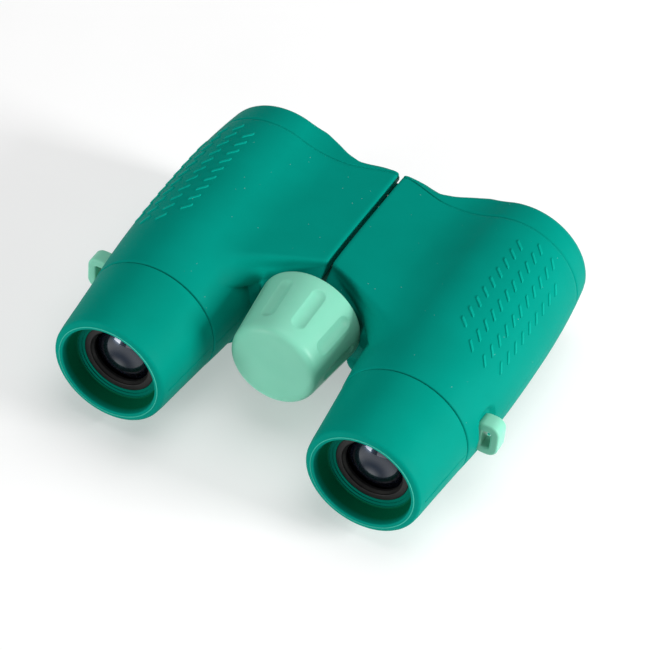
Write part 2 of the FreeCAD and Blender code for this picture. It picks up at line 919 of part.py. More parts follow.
def strap_lug(name, side):
    """A loop with rounded corners on a stem that locks into the chassis."""
    inner = lug_root
    half_thick = S.lug_thickness / 2
    half_high = S.lug_height / 2
    across = (S.lug_station - half_thick, S.lug_station + half_thick)
    corner_x = lug_reach - S.lug_corner
    body = box(name + "_body", sided(side, inner, corner_x), across, (-half_high, half_high))
    nose = box(name + "_nose", sided(side, corner_x, lug_reach), across,
               (-half_high + S.lug_corner, half_high - S.lug_corner))
    corner_place = corner_x if side > 0 else -corner_x
    rows = (("top", half_high - S.lug_corner), ("low", S.lug_corner - half_high))
    corners = [rod(f"{name}_corner_{word}", S.lug_corner, across, corner_place, height)
               for word, height in rows]
    stem = box(name + "_stem", sided(side, inner - S.lug_stem, inner + S.lug_rim / 4),
               (S.lug_station - lug_stem_half_thick, S.lug_station + lug_stem_half_thick),
               (-(S.lug_stem_height / 2), S.lug_stem_height / 2))
    eye_far = lug_reach - S.lug_rim
    eye = box(name + "_eye", sided(side, eye_far - S.lug_eye_width, eye_far),
              (across[0] - S.overrun, across[1] + S.overrun),
              (-(S.lug_eye_height / 2), S.lug_eye_height / 2))
    return cut(name, fused(name + "_solid", body, nose, stem, *corners), eye)


# Centre pieces


def hinge_axle():
    rear = S.wheel_rear + S.wheel_wall + S.body_clearance
    return rod("hinge_axle", S.axle_r, (rear, hinge_front), ZERO, S.axle_rise)


def on_axle(name, inner, outer, rear, front):
    return turned(name, ZERO, S.axle_rise, [
        (inner, rear), (outer, rear), (outer, front), (inner, front)])


def screw_rear():
    """Leaves room for the clip between the wheel's floor and the screw."""
    return S.wheel_rear + S.wheel_wall + S.clip_thickness * 3


def focus_screw():
    front = bay_front - S.body_clearance
    return on_axle("focus_screw", axle_bore_r, S.screw_r, screw_rear(), front)


def axle_clip():
    rear = screw_rear() - S.running_fit - S.clip_thickness
    return on_axle("axle_clip", S.axle_r + S.seat_fit, S.clip_r, rear, rear + S.clip_thickness)


def focus_nut():
    flange_gap = S.arm_thickness + S.running_fit
    low, high = nut_middle - flange_gap, nut_middle + flange_gap
    return turned("focus_nut", ZERO, S.axle_rise, [
        (screw_bore_r, low - S.nut_flange),
        (S.nut_flange_r, low - S.nut_flange),
        (S.nut_flange_r, low),
        (S.nut_body_r, low),
        (S.nut_body_r, high),
        (S.nut_flange_r, high),
        (S.nut_flange_r, high + S.nut_flange),
        (screw_bore_r, high + S.nut_flange),
    ])


def hinge_cap():
    return on_axle("hinge_cap", ZERO, S.knuckle_r, hinge_front, hinge_front + S.hinge_cap)


def friction_ring():
    front = S.boss_rear
    return on_axle("wheel_friction_ring", screw_bore_r, S.friction_ring_r,
                   front - S.friction_ring, front)


def hinge_washers():
    """Three thin washers between the knuckles, as one group of separate rings."""
    rows = [(boss_front, screw_bore_r), (front_right_knuckle - S.knuckle_gap, axle_bore_r),
            (front_left_knuckle - S.knuckle_gap, axle_bore_r)]
    spare = (S.knuckle_gap - S.washer) / 2
    rings = []
    for number, (rear, bore) in enumerate(rows, start=1):
        start = rear + spare
        outside = rod(f"washer_{number}_disc", S.knuckle_r, (start, start + S.washer),
                      ZERO, S.axle_rise)
        inside = rod(f"washer_{number}_bore", bore,
                     (start - S.overrun, start + S.washer + S.overrun), ZERO, S.axle_rise)
        rings.append(cut(f"washer_{number}", outside, inside))
    group = doc.addObject("Part::Compound", "hinge_washers")
    group.Links = rings
    return group


def wheel_blank():
    """The focus wheel before its flutes: a hollow cap with a hub for the screw."""
    hub_bore = S.screw_r + S.seat_fit
    hub_r = hub_bore + S.wheel_hub_wall
    inner_rear = S.wheel_rear + S.wheel_wall
    face = (S.wheel_face_r, S.wheel_rear)
    rear_shoulder = (S.wheel_rear_r, S.wheel_rear + S.wheel_rear_round)
    front_shoulder = (S.wheel_front_r, S.wheel_front - S.wheel_front_round)
    front_face = (S.wheel_front_r - S.wheel_front_round, S.wheel_front)
    return turned("wheel_blank", ZERO, S.axle_rise, [
        (ZERO, S.wheel_rear),
        face,
        (*rear_shoulder, corner_round(face, rear_shoulder)),
        front_shoulder,
        (*front_face, corner_round(front_face, front_shoulder)),
        (S.wheel_front_r - S.wheel_wall, S.wheel_front),
        (S.wheel_rear_r - S.wheel_wall, inner_rear),
        (hub_r, inner_rear),
        (hub_r, S.wheel_front),
        (hub_bore, S.wheel_front),
        (hub_bore, inner_rear),
        (ZERO, inner_rear),
    ])


def flute_tool():
    """One round-ended scoop, laid along the wheel's taper above the axle."""
    rise = (S.wheel_front_r - S.wheel_rear_r).value
    run = (S.wheel_front - S.wheel_front_round - S.wheel_rear - S.wheel_rear_round).value
    lift = S.flute_tool_r.value - S.flute_depth.value
    rear_edge = (S.wheel_rear + S.wheel_rear_round).value

    def centre(station):
        surface = S.wheel_rear_r.value + rise * (station - rear_edge) / run
        return Vector(0, station, S.axle_rise.value + surface + lift)

    radius = S.flute_tool_r.value
    half_foot = math.sqrt(radius ** 2 - lift ** 2)
    start = centre(S.flute_rear.value + half_foot)
    end = centre(S.flute_front.value - half_foot)
    path = end - start
    scoop = Part.makeCylinder(radius, path.Length, start, path)
    for ball in (start, end):
        scoop = scoop.fuse(Part.makeSphere(radius, ball))
    return scoop


FLUTE_START = 16.0


def focus_wheel():
    blank = wheel_blank()
    count = int(S.flute_count.value)
    scoop = flute_tool()
    on_axis = Vector(0, 0, S.axle_rise.value)
    scoops = []
    for number in range(count):
        next_scoop = scoop.copy()
        next_scoop.rotate(on_axis, Vector(0, 1, 0), FLUTE_START + 360.0 / count * number)
        scoops.append(next_scoop)
    flutes = feature("wheel_flutes", Part.makeCompound(scoops))
    return cut("focus_wheel", blank, flutes)


def build_half(side, right_shell, core):
    word = "right" if side > 0 else "left"
    ring_front = eye_lens_rear()
    cell_front = cell_rear + S.cell_length
    lens_front = objective_lens_rear() + S.objective_edge
    return [
        feature(word + "_skin", skin(side, right_shell)),
        feature(word + "_chassis", chassis(side, core)),
        eyecup(word + "_eyecup", side),
        eyepiece_tube(word + "_eyepiece_tube", side),
        ring(word + "_eye_lens_ring", side, S.lens_opening_r, S.eye_ring_r,
             S.eye_ring_station, ring_front),
        lens(word + "_eye_lens", side, S.eye_lens_r, eye_clear_r, eye_lens_rear(),
             S.eye_lens_edge, S.eye_lens_bulge),
        ring(word + "_lens_spacer", side, S.eye_lens_r - S.lens_spacer_wall, S.eye_lens_r,
             eye_lens_rear() + S.eye_lens_edge, field_lens_rear()),
        lens(word + "_field_lens", side, S.eye_lens_r, eye_clear_r, field_lens_rear(),
             S.field_lens_edge, S.field_lens_bulge),
        prism_cage(word + "_prism_cage", side),
        prism(word + "_rear_prism", side, False),
        prism(word + "_front_prism", side, True),
        objective_cell(word + "_objective_cell", side),
        lens(word + "_objective_lens", side, objective_r, objective_clear_r,
             objective_lens_rear(), S.objective_edge, S.objective_bulge),
        ring(word + "_objective_ring", side, objective_r - S.objective_ring_lip,
             objective_r, lens_front, lens_front + S.objective_ring),
        focus_arm(word + "_focus_arm", side),
        ring(word + "_front_ring", side, front_ring_bore_r,
             front_opening_r - S.seat_fit, cell_bore_end,
             S.overall_length - S.front_ring_recess),
        strap_lug(word + "_strap_lug", side),
    ]


def build():
    pieces = []
    right_shell = right_skin()
    core = right_core()
    for side in (-1, 1):
        pieces += build_half(side, right_shell, core)
    pieces += [hinge_axle(), focus_screw(), axle_clip(), focus_nut(), hinge_cap(),
               friction_ring(), hinge_washers(), focus_wheel()]
    doc.recompute()
    return pieces


def check(pieces):
    for thing in doc.Objects:
        for word in ("Invalid", "Error"):
            if word in thing.State:
                raise RuntimeError(f"{thing.Label} is {thing.State}")
    for piece in pieces:
        if piece.Shape.isNull() or not piece.Shape.isValid():
            raise RuntimeError(f"{piece.Label} has no valid shape")
        if not piece.Shape.Solids:
            raise RuntimeError(f"{piece.Label} has no solid")


def write(pieces):
    os.makedirs("parts", exist_ok=True)
    for piece in pieces:
        piece.Shape.exportStep(f"parts/{piece.Label}.step")
        print(piece.Label, len(piece.Shape.Solids), round(piece.Shape.Volume, 1))


pieces = build()
check(pieces)
write(pieces)
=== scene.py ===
import json
import math

import bmesh
import bpy
import numpy as np
from mathutils import Matrix, Vector


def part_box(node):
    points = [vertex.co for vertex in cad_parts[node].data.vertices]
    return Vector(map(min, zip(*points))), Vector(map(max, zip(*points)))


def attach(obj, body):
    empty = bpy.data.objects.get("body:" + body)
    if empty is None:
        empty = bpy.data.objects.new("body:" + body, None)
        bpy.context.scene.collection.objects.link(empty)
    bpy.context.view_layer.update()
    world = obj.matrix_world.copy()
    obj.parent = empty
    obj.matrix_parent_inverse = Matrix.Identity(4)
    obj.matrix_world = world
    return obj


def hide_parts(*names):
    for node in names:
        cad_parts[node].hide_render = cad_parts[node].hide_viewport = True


# Children's folding binoculars. Lengths are in millimetres, stations are measured
# forward from the eyecup rims and heights from the barrels' own axes, as in the
# solids. The frame's own origin is on the table, below the middle of the object.

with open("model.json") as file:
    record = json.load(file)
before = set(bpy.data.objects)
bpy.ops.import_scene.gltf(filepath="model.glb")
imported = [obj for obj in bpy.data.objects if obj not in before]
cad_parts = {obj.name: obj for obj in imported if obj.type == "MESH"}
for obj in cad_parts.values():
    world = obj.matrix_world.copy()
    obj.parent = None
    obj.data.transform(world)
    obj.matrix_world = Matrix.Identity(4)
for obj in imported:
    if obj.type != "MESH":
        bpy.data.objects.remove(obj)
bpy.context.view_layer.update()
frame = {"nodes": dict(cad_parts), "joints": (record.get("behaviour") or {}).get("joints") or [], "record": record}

MM = 0.001


def node_box(node):
    """The lowest and highest corners of a solid, in millimetres."""
    low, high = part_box(node)
    return np.array(low) / MM, np.array(high) / MM


CUP_LOW, CUP_HIGH = node_box("right_eyecup")
SKIN_LOW, SKIN_HIGH = node_box("right_skin")
WHEEL_LOW, WHEEL_HIGH = node_box("focus_wheel")
LUG_LOW, LUG_HIGH = node_box("right_strap_lug")
RING_LOW, RING_HIGH = node_box("right_eye_lens_ring")
FRONT_LOW, FRONT_HIGH = node_box("right_front_ring")
CAP_LOW, CAP_HIGH = node_box("hinge_cap")

# Where the stations and heights start, in the frame
RIM_Y = CUP_LOW[1]
AXIS_Z = (CUP_LOW[2] + CUP_HIGH[2]) / 2
BARREL_X = (CUP_LOW[0] + CUP_HIGH[0]) / 2

# Sizes read from the solids
LENGTH = SKIN_HIGH[1] - RIM_Y
SEAM_STATION = SKIN_LOW[1] - RIM_Y
BARREL_R = (SKIN_HIGH[2] - SKIN_LOW[2]) / 2
HALF_GAP = SKIN_LOW[0]
HINGE_Z = (WHEEL_LOW[2] + WHEEL_HIGH[2]) / 2 - AXIS_Z
WHEEL_REAR = WHEEL_LOW[1] - RIM_Y
WHEEL_FRONT = WHEEL_HIGH[1] - RIM_Y
WHEEL_R = (WHEEL_HIGH[0] - WHEEL_LOW[0]) / 2
KNUCKLE_R = (CAP_HIGH[0] - CAP_LOW[0]) / 2


# Mesh helpers

# Points nearer to each other than this are joined
WELD = 0.001
# The rounding of a corner takes at most this share of the edges beside it
LONGEST_ROUND = 0.48
# Outlines that begin or end in the middle keep this far off the axis
NEAR_AXIS = 0.001


def to_frame(points):
    """Turns millimetre points on the barrels' axes into the frame's metres."""
    moved = np.asarray(points, float) + np.array([0.0, RIM_Y, AXIS_Z])
    return moved * MM


def strip_faces(rows, columns, joined):
    """Quads between rows of points that run all the way round."""
    faces = []
    for i in range(rows if joined else rows - 1):
        first, second = i * columns, (i + 1) % rows * columns
        for j in range(columns):
            k = (j + 1) % columns
            faces.append((first + j, first + k, second + k, second + j))
    return faces


class Shell:
    """Points and faces of one piece, gathered part by part."""

    def __init__(self):
        self.points = []
        self.faces = []

    def add(self, points, faces):
        start = len(self.points)
        self.points += [tuple(point) for point in points]
        self.faces += [tuple(start + i for i in face) for face in faces]

    def add_rows(self, rows, joined=False):
        """Rows of points, each a closed ring. Open ends are closed with a fan."""
        rows = np.asarray(rows, float)
        count, columns = rows.shape[:2]
        start = len(self.points)
        self.add(rows.reshape(-1, 3), strip_faces(count, columns, joined))
        if joined:
            return
        for row, index in ((rows[0], 0), (rows[-1], count - 1)):
            first = start + index * columns
            ring = [first + j for j in range(columns)]
            middle = len(self.points)
            self.points.append(tuple(row.mean(axis=0)))
            self.faces += [(ring[j - 1], ring[j], middle) for j in range(columns)]

    def mirrored(self):
        other = Shell()
        other.points = [(-x, y, z) for x, y, z in self.points]
        other.faces = [tuple(reversed(face)) for face in self.faces]
        return other


def piece(name, shell, body, material, replaced):
    """Makes a smooth closed mesh from a shell and puts it on its body."""
    mesh = bpy.data.meshes.new(name)
    mesh.from_pydata(to_frame(shell.points).tolist(), [], shell.faces)
    edit = bmesh.new()
    edit.from_mesh(mesh)
    bmesh.ops.remove_doubles(edit, verts=edit.verts, dist=WELD * MM)
    bmesh.ops.recalc_face_normals(edit, faces=edit.faces)
    edit.to_mesh(mesh)
    edit.free()
    mesh.materials.append(material)
    mesh.shade_smooth()
    thing = bpy.data.objects.new(name, mesh)
    bpy.context.scene.collection.objects.link(thing)
    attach(thing, body)
    for node in replaced:
        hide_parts(node)


def pieces_on_both_sides(*rows):
    """Makes the left and right piece of each (name, shell, slot, material, node); the slot is not used."""
    for side in ("left", "right"):
        for name, shell, slot, material, node in rows:
            own = shell.mirrored() if side == "left" else shell
            replaced = [side + "_" + node] if node else []
            piece(side + "_" + name, own, side + "_half", material, replaced)


def smooth(share):
    """A share from 0 to 1 that starts and ends gently."""
    share = np.clip(share, 0.0, 1.0)
    return share * share * (3.0 - 2.0 * share)


def soft_min(first, second, blend):
    """The smaller of two lengths, with the corner between them rounded off."""
    share = np.clip(0.5 + 0.5 * (second - first) / blend, 0.0, 1.0)
    return second + (first - second) * share - blend * share * (1.0 - share)


def rounded(outline, radii, steps):
    """A closed outline of (radius, station) points with its corners rounded."""
    points = [np.array(point, float) for point in outline]
    result = []
    for i, corner in enumerate(points):
        before, after = points[i - 1], points[(i + 1) % len(points)]
        radius = radii[i] if isinstance(radii, tuple) else radii
        back, ahead = before - corner, after - corner
        back_length, ahead_length = np.linalg.norm(back), np.linalg.norm(ahead)
        if radius <= 0.0:
            result.append(corner)
            continue
        turn = math.acos(np.clip(back @ ahead / (back_length * ahead_length), -1.0, 1.0))
        reach = radius / math.tan(turn / 2.0)
        reach = min(reach, LONGEST_ROUND * back_length, LONGEST_ROUND * ahead_length)
        start = corner + back / back_length * reach
        end = corner + ahead / ahead_length * reach
        for step in range(steps + 1):
            share = step / steps
            result.append(start * (1 - share) ** 2 + corner * 2 * share * (1 - share)
                          + end * share ** 2)
    return result


def turned_rows(outline, x, z, columns):
    """Rings of points about an axis along Y, one for each (radius, station)."""
    angles = np.linspace(0.0, 2.0 * math.pi, columns, endpoint=False)
    rows = []
    for radius, station in outline:
        rows.append(np.stack([
            x + radius * np.cos(angles), np.full(columns, station),
            z + radius * np.sin(angles)], axis=1))
    return rows


def turned_shell(outline, x, z, columns):
    """A closed ring-shaped piece, turned about an axis along Y."""
    shell = Shell()
    shell.add_rows(turned_rows(outline, x, z, columns), joined=True)
    return shell


# Materials


def linear(red, green, blue):
    """An eight-bit display colour as Blender's own linear colour."""
    levels = [value / 255.0 for value in (red, green, blue)]
    return tuple(v / 12.92 if v <= 0.04045 else ((v + 0.055) / 1.055) ** 2.4
                 for v in levels) + (1.0,)


# The part of a noise's range that is put to use
NOISE_LOW = 0.3
NOISE_HIGH = 0.7

# Inside these radii a cup's rubber is painted darker, as painted shade on the wall and the steps of its hollow,
# and each change takes a short width
CUP_WALL_R = 12.35
CUP_WALL_WIDTH = 0.5
CUP_WALL_PAINTED_SHADE = linear(0, 84, 56)
CUP_STEP_R = 10.9
CUP_STEP_WIDTH = 0.3
CUP_STEP_PAINTED_SHADE = linear(0, 107, 90)

# Painted reflections: soft rings in the strength of an eye lens's coat, standing in for the reflections that inner
# glass adds
PAINTED_REFLECTION_PITCH = 5.0
PAINTED_REFLECTION_DROP = -1.2
PAINTED_REFLECTION_FAINTEST = 0.06


class Surface:
    """A node material under construction, in the object's own coordinates."""

    def __init__(self, name):
        self.material = bpy.data.materials.new(name)
        self.material.use_nodes = True
        self.tree = self.material.node_tree
        self.shader = self.tree.nodes["Principled BSDF"]
        self.place = self.node("ShaderNodeTexCoord").outputs["Object"]

    def node(self, kind, **settings):
        made = self.tree.nodes.new(kind)
        for name, value in settings.items():
            setattr(made, name, value)
        return made

    def link(self, start, end):
        self.tree.links.new(start, end)

    def set(self, **values):
        for name, value in values.items():
            self.shader.inputs[name.replace("_", " ")].default_value = value

    def noise(self, grain_mm, detail=3.0, stretch=(1.0, 1.0, 1.0)):
        """Noise whose grain is about the given length, and longer where stretched."""
        scale = self.node("ShaderNodeVectorMath", operation="MULTIPLY")
        scale.inputs[1].default_value = stretch
        self.link(self.place, scale.inputs[0])
        texture = self.node("ShaderNodeTexNoise")
        texture.inputs["Scale"].default_value = 1.0 / (grain_mm * MM)
        texture.inputs["Detail"].default_value = detail
        self.link(scale.outputs[0], texture.inputs["Vector"])
        return texture.outputs["Fac"]

    def spread(self, source, low, high):
        """Maps a noise's middle range to a range of values."""
        span = self.node("ShaderNodeMapRange")
        span.inputs["From Min"].default_value = NOISE_LOW
        span.inputs["From Max"].default_value = NOISE_HIGH
        span.inputs["To Min"].default_value = low
        span.inputs["To Max"].default_value = high
        self.link(source, span.inputs["Value"])
        return span.outputs["Result"]

    def mix(self, factor, first, second):
        blend = self.node("ShaderNodeMix", data_type="RGBA")
        for socket, value in ((6, first), (7, second)):
            if isinstance(value, tuple):
                blend.inputs[socket].default_value = value
            else:
                self.link(value, blend.inputs[socket])
        self.link(factor, blend.inputs[0])
        return blend.outputs[2]

    def clouds(self, first, second, grain_mm):
        """Two near colours, in soft patches of about the given length."""
        return self.mix(self.spread(self.noise(grain_mm), 0.0, 1.0), first, second)

    def specks(self, spacing_mm, size_share):
        """Small scattered spots: 1 inside a spot and 0 outside."""
        cells = self.node("ShaderNodeTexVoronoi")
        cells.inputs["Scale"].default_value = 1.0 / (spacing_mm * MM)
        cells.inputs["Randomness"].default_value = 1.0
        self.link(self.place, cells.inputs["Vector"])
        inside = self.node("ShaderNodeMath", operation="LESS_THAN")
        inside.inputs[1].default_value = size_share
        self.link(cells.outputs["Distance"], inside.inputs[0])
        return inside.outputs[0]

    def from_axis(self, height):
        """The distance from a line along either barrel at a height above the table."""
        folded = self.node("ShaderNodeVectorMath", operation="ABSOLUTE")
        self.link(self.place, folded.inputs[0])
        moved = self.node("ShaderNodeVectorMath", operation="SUBTRACT")
        moved.inputs[1].default_value = (BARREL_X * MM, 0.0, height * MM)
        self.link(folded.outputs[0], moved.inputs[0])
        flat = self.node("ShaderNodeVectorMath", operation="MULTIPLY")
        flat.inputs[1].default_value = (1.0, 0.0, 1.0)
        self.link(moved.outputs[0], flat.inputs[0])
        length = self.node("ShaderNodeVectorMath", operation="LENGTH")
        self.link(flat.outputs[0], length.inputs[0])
        return length.outputs["Value"]

    def colour(self, source):
        self.link(source, self.shader.inputs["Base Color"])

    def roughness(self, source):
        self.link(source, self.shader.inputs["Roughness"])

    def bump(self, source, depth_mm):
        bump = self.node("ShaderNodeBump")
        bump.inputs["Strength"].default_value = 1.0
        bump.inputs["Distance"].default_value = depth_mm * MM
        self.link(source, bump.inputs["Height"])
        self.link(bump.outputs["Normal"], self.shader.inputs["Normal"])


def scaled(colour, share, added=0.0):
    """A colour made darker by a share, or paler by what is added."""
    return tuple(share * value + added for value in colour[:3]) + (1.0,)


def finish_rubber(surface, shade):
    """Rubber's own finish: a fine dull grain that hardly shines."""
    surface.colour(shade)
    surface.roughness(surface.spread(surface.noise(grain_mm=0.5), low=0.44, high=0.56))
    surface.set(Specular_IOR_Level=0.015)
    surface.bump(surface.noise(grain_mm=0.18, detail=4.0), depth_mm=0.006)
    return surface.material


def soft_rubber(name, dark, light, dust=True):
    """Soft-touch rubber in an even colour, with a little dust on it."""
    surface = Surface(name)
    shade = surface.clouds(dark, light, grain_mm=14.0)
    if dust:
        spots = surface.specks(spacing_mm=2.6, size_share=0.035)
        shade = surface.mix(spots, shade, scaled(light, 0.75, added=0.25))
    return finish_rubber(surface, shade)


def cup_rubber():
    """The cups' rubber, with painted shade: a deeper green on the wall and the steps inside the rim."""
    surface = Surface("teal_cup_rubber_painted_shade")
    shade = surface.clouds(linear(0, 132, 116), linear(0, 137, 121), grain_mm=14.0)
    radius = surface.from_axis(AXIS_Z)
    # Painted shade: a deeper green on the wall inside the rim, and a less deep one on the steps below it
    for start, width, tint in ((CUP_WALL_R, CUP_WALL_WIDTH, CUP_WALL_PAINTED_SHADE),
                               (CUP_STEP_R, CUP_STEP_WIDTH, CUP_STEP_PAINTED_SHADE)):
        inside = surface.node("ShaderNodeMapRange")
        inside.inputs["From Min"].default_value = start * MM
        inside.inputs["From Max"].default_value = (start - width) * MM
        surface.link(radius, inside.inputs["Value"])
        shade = surface.mix(inside.outputs["Result"], shade, tint)
    return finish_rubber(surface, shade)


def satin_plastic(name, dark, light, rough, depth=0.3):
    """Moulded plastic with a satin face and a faint flow in its colour."""
    surface = Surface(name)
    flow = surface.noise(grain_mm=9.0, detail=2.0, stretch=(1.0, 0.4, 1.0))
    surface.colour(surface.mix(surface.spread(flow, 0.0, 1.0), dark, light))
    grain = surface.noise(grain_mm=0.8)
    surface.roughness(surface.spread(grain, low=rough - 0.05, high=rough + 0.06))
    surface.set(Subsurface_Weight=0.25, Subsurface_Scale=depth * MM,
                Subsurface_Radius=(0.6, 1.0, 0.8), Specular_IOR_Level=0.2)
    surface.bump(surface.noise(grain_mm=0.25), depth_mm=0.004)
    return surface.material


def black_plastic():
    """Matt black, with a fine grain that keeps stray light down."""
    surface = Surface("black_plastic")
    surface.colour(surface.clouds(linear(17, 16, 16), linear(27, 26, 25), grain_mm=1.2))
    surface.roughness(surface.spread(surface.noise(grain_mm=0.3), low=0.38, high=0.55))
    surface.set(Specular_IOR_Level=0.3)
    surface.bump(surface.noise(grain_mm=0.15), depth_mm=0.008)
    return surface.material


def metal(name, colour, rough):
    """Turned metal, with fine marks round the axis that it was turned about."""
    surface = Surface(name)
    marks = surface.noise(grain_mm=0.25, detail=2.0, stretch=(0.15, 1.0, 0.15))
    surface.roughness(surface.spread(marks, low=rough - 0.08, high=rough + 0.08))
    surface.colour(surface.clouds(colour, scaled(colour, 0.85), grain_mm=3.0))
    surface.set(Metallic=1.0)
    surface.bump(marks, depth_mm=0.003)
    return surface.material


def lens_glass(name, tint):
    """Polished glass with a faint coating."""
    surface = Surface(name)
    surface.set(Transmission_Weight=1.0, IOR=1.52, Roughness=0.0,
                Specular_Tint=(0.62, 0.74, 1.0, 1.0))
    surface.colour(surface.clouds(tint, scaled(tint, 0.97), grain_mm=20.0))
    return surface.material


def coated_glass():
    """A dark coated eye lens: the tube behind is black, so only reflections show. The coat's strength rises and
    falls in soft rings, as painted reflections.
    """
    surface = Surface("coated_eye_glass_painted_reflections")
    surface.colour(surface.clouds(linear(5, 7, 14), linear(9, 12, 21), grain_mm=6.0))
    surface.set(IOR=1.4, Roughness=0.24, Specular_Tint=(0.4, 0.62, 1.0, 1.0),
                Coat_IOR=1.58, Coat_Roughness=0.0)
    # Painted reflections: the coat is strong and faint in turn, in rings round the lens's middle
    turns = surface.node("ShaderNodeMath", operation="MULTIPLY")
    turns.inputs[1].default_value = 2 * math.pi / (PAINTED_REFLECTION_PITCH * MM)
    surface.link(surface.from_axis(AXIS_Z + PAINTED_REFLECTION_DROP), turns.inputs[0])
    wave = surface.node("ShaderNodeMath", operation="COSINE")
    surface.link(turns.outputs[0], wave.inputs[0])
    weight = surface.node("ShaderNodeMapRange")
    weight.inputs["From Min"].default_value = -1.0
    weight.inputs["To Min"].default_value = PAINTED_REFLECTION_FAINTEST
    surface.link(wave.outputs[0], weight.inputs["Value"])
    surface.link(weight.outputs["Result"], surface.shader.inputs["Coat Weight"])
    return surface.material


TEAL = soft_rubber("teal_rubber", linear(0, 131, 116), linear(0, 136, 121))
# Painted highlight: the grip dashes are a paler teal than the skin, as if their tops caught the light
GRIP_TEAL_PAINTED_HIGHLIGHT = soft_rubber("teal_grip_rubber_painted_highlight", linear(2, 148, 131), linear(4, 153, 136))
# Painted shade: the cups' rubber is darker inside the rims
CUP_TEAL_PAINTED_SHADE = cup_rubber()
# Painted highlight: the fine ring on each cup's crest is a pale teal, like a lit line
CREST_PAINTED_HIGHLIGHT = soft_rubber("teal_crest_painted_highlight", linear(60, 176, 156), linear(68, 182, 162),
                         dust=False)
DARK_TEAL = satin_plastic("dark_teal_plastic", linear(0, 60, 50), linear(0, 68, 56),
                          rough=0.5)
MINT = satin_plastic("mint_plastic", linear(122, 197, 171), linear(127, 201, 175),
                     rough=0.36, depth=0.8)
BLACK = black_plastic()
BLACK_RUBBER = soft_rubber("black_rubber", linear(20, 20, 20), linear(30, 30, 29),
                           dust=False)
WHITE = satin_plastic("natural_plastic", linear(216, 214, 204), linear(224, 222, 212),
                      rough=0.3)
STEEL = metal("steel", linear(170, 172, 174), rough=0.3)
BRASS = metal("brass", linear(196, 160, 92), rough=0.28)
LENS = lens_glass("lens_glass", (0.26, 0.31, 0.43, 1.0))
EYE_GLASS = coated_glass()
PRISM = lens_glass("prism_glass", (0.16, 0.18, 0.22, 1.0))

SLOT_MATERIALS = {
    "skin_rubber": TEAL, "eyecup_rubber": CUP_TEAL_PAINTED_SHADE, "chassis_plastic": DARK_TEAL,
    "mint_plastic": MINT, "black_plastic": BLACK, "black_rubber": BLACK_RUBBER,
    "white_plastic": WHITE, "steel": STEEL, "brass": BRASS, "lens_glass": LENS,
    "prism_glass": PRISM,
}


def finish_solids():
    """Gives each solid that stays in view the material of its slot."""
    for row in frame["record"]["subparts"]:
        thing = frame["nodes"][row["node"]]
        thing.data.materials.clear()
        thing.data.materials.append(SLOT_MATERIALS[row["material_slot"]])


# Form of one half

# Where the barrel is widest, and how it narrows towards each end
BELLY_STATION = 56.0
REAR_DROP = 1.75
FRONT_DROP = 2.0
DROP_POWER = 2.4

# The bridge's top and bottom, and the hollow that joins them to the barrel
BRIDGE_TOP_FRONT = 14.0
BRIDGE_TOP_REAR = 15.4
BRIDGE_BOTTOM = 13.5
ROOF_TILT = math.radians(3.5)
SADDLE_R = 30.0

# The room that the skins leave the hinge's knuckles and the fold
KNUCKLE_GAP = 0.29
RELIEF_R = KNUCKLE_R + KNUCKLE_GAP
FOLD_ANGLE = math.radians(frame["joints"][0]["range_deg"][1])
FOLD_SPARE = math.radians(1.0)
RELIEF_ANGLE = FOLD_ANGLE / 2 + FOLD_SPARE

# For directions that run nearly along a face, and the length where they miss it
LEAST_SINE = 0.03
LEAST_LEAN = 0.05
FAR_OFF = BARREL_X * 4.0

# The recess round the focus wheel: the station where the bridge is full at the hinge
# and at the barrel, how that changes with the angle from the hinge, and the roll below
RECESS_FRONT = 47.5
RECESS_SIDE = 36.0
RECESS_ROLL = 8.0
SPREAD_START = 23.0
SPREAD_SPAN = 47.0
SPREAD_POWER = 2.35

# The slope behind the bridge's ridge: how steep it is, how it bends, how round its
# ridge is, and the angles from the hinge over which it takes the roll's place
SLOPE_FALL = 0.55
SLOPE_BEND = 0.005
CREST_ROUND = 1.6
SLOPE_NEAR = 3.0
SLOPE_SPREAD = 10.0
LOWEST_ROOF = -15.0

# How far the slope may lie inside the roll, which leaves the chassis its room
SKIN_SLACK = 0.6
SLACK_BLEND = 1.2

# The room that the recess leaves the wheel
WHEEL_CLEARANCE = 0.45
WHEEL_CLEAR_RUN = 3.5
WHEEL_BLEND = 2.6

# The front edge in plan: how far it stands back at shares of the way from the middle
# to a barrel's axis, and how it is eased between them
EDGE_X_SHARES = (0.0, 0.13, 0.31, 0.43, 0.56, 0.66)
BRIDGE_SETBACK = 4.3
NOTCH_SETBACK = 4.9
EDGE_BACK = (BRIDGE_SETBACK, BRIDGE_SETBACK * 0.9, NOTCH_SETBACK, NOTCH_SETBACK * 0.75,
             NOTCH_SETBACK * 0.28, 0.0)
EDGE_SAMPLES = 400
EDGE_PAST_MIDDLE = -2.0
EDGE_EASE_WIDTH = 41

# The groove that runs along behind the front edge
GROOVE_SETBACK = 8.4
GROOVE_LEAD = 3.2
GROOVE_SPREAD = 14.0
GROOVE_HALF_WIDTH = 0.4
GROOVE_DEPTH = 0.28
GROOVE_FROM_EDGE = 1.1

# The skin's wall, how far it stands proud of the solid, and its rounded corners
SKIN_WALL = 1.4
PROUD = 0.06
WHEEL_REAR_R = 11.2
CORNER_BLEND = 1.3
FRONT_OPENING_R = 13.0
SEAM_ROUND = 0.4
FRONT_ROUND_LEAST = 0.5
FRONT_ROUND_MOST = 1.7
FRONT_ROUND_GAP = 0.1
LIP_ROUND = 0.5
FRONT_LIP = 1.9

# The pocket that the strap lug stands in
POCKET_LEAD = 0.5
POCKET_HALF_LENGTH = 3.2
POCKET_HALF_HEIGHT = 6.2
POCKET_CORNER = 2.4
POCKET_DEPTH = 0.9
POCKET_EDGE = 0.6

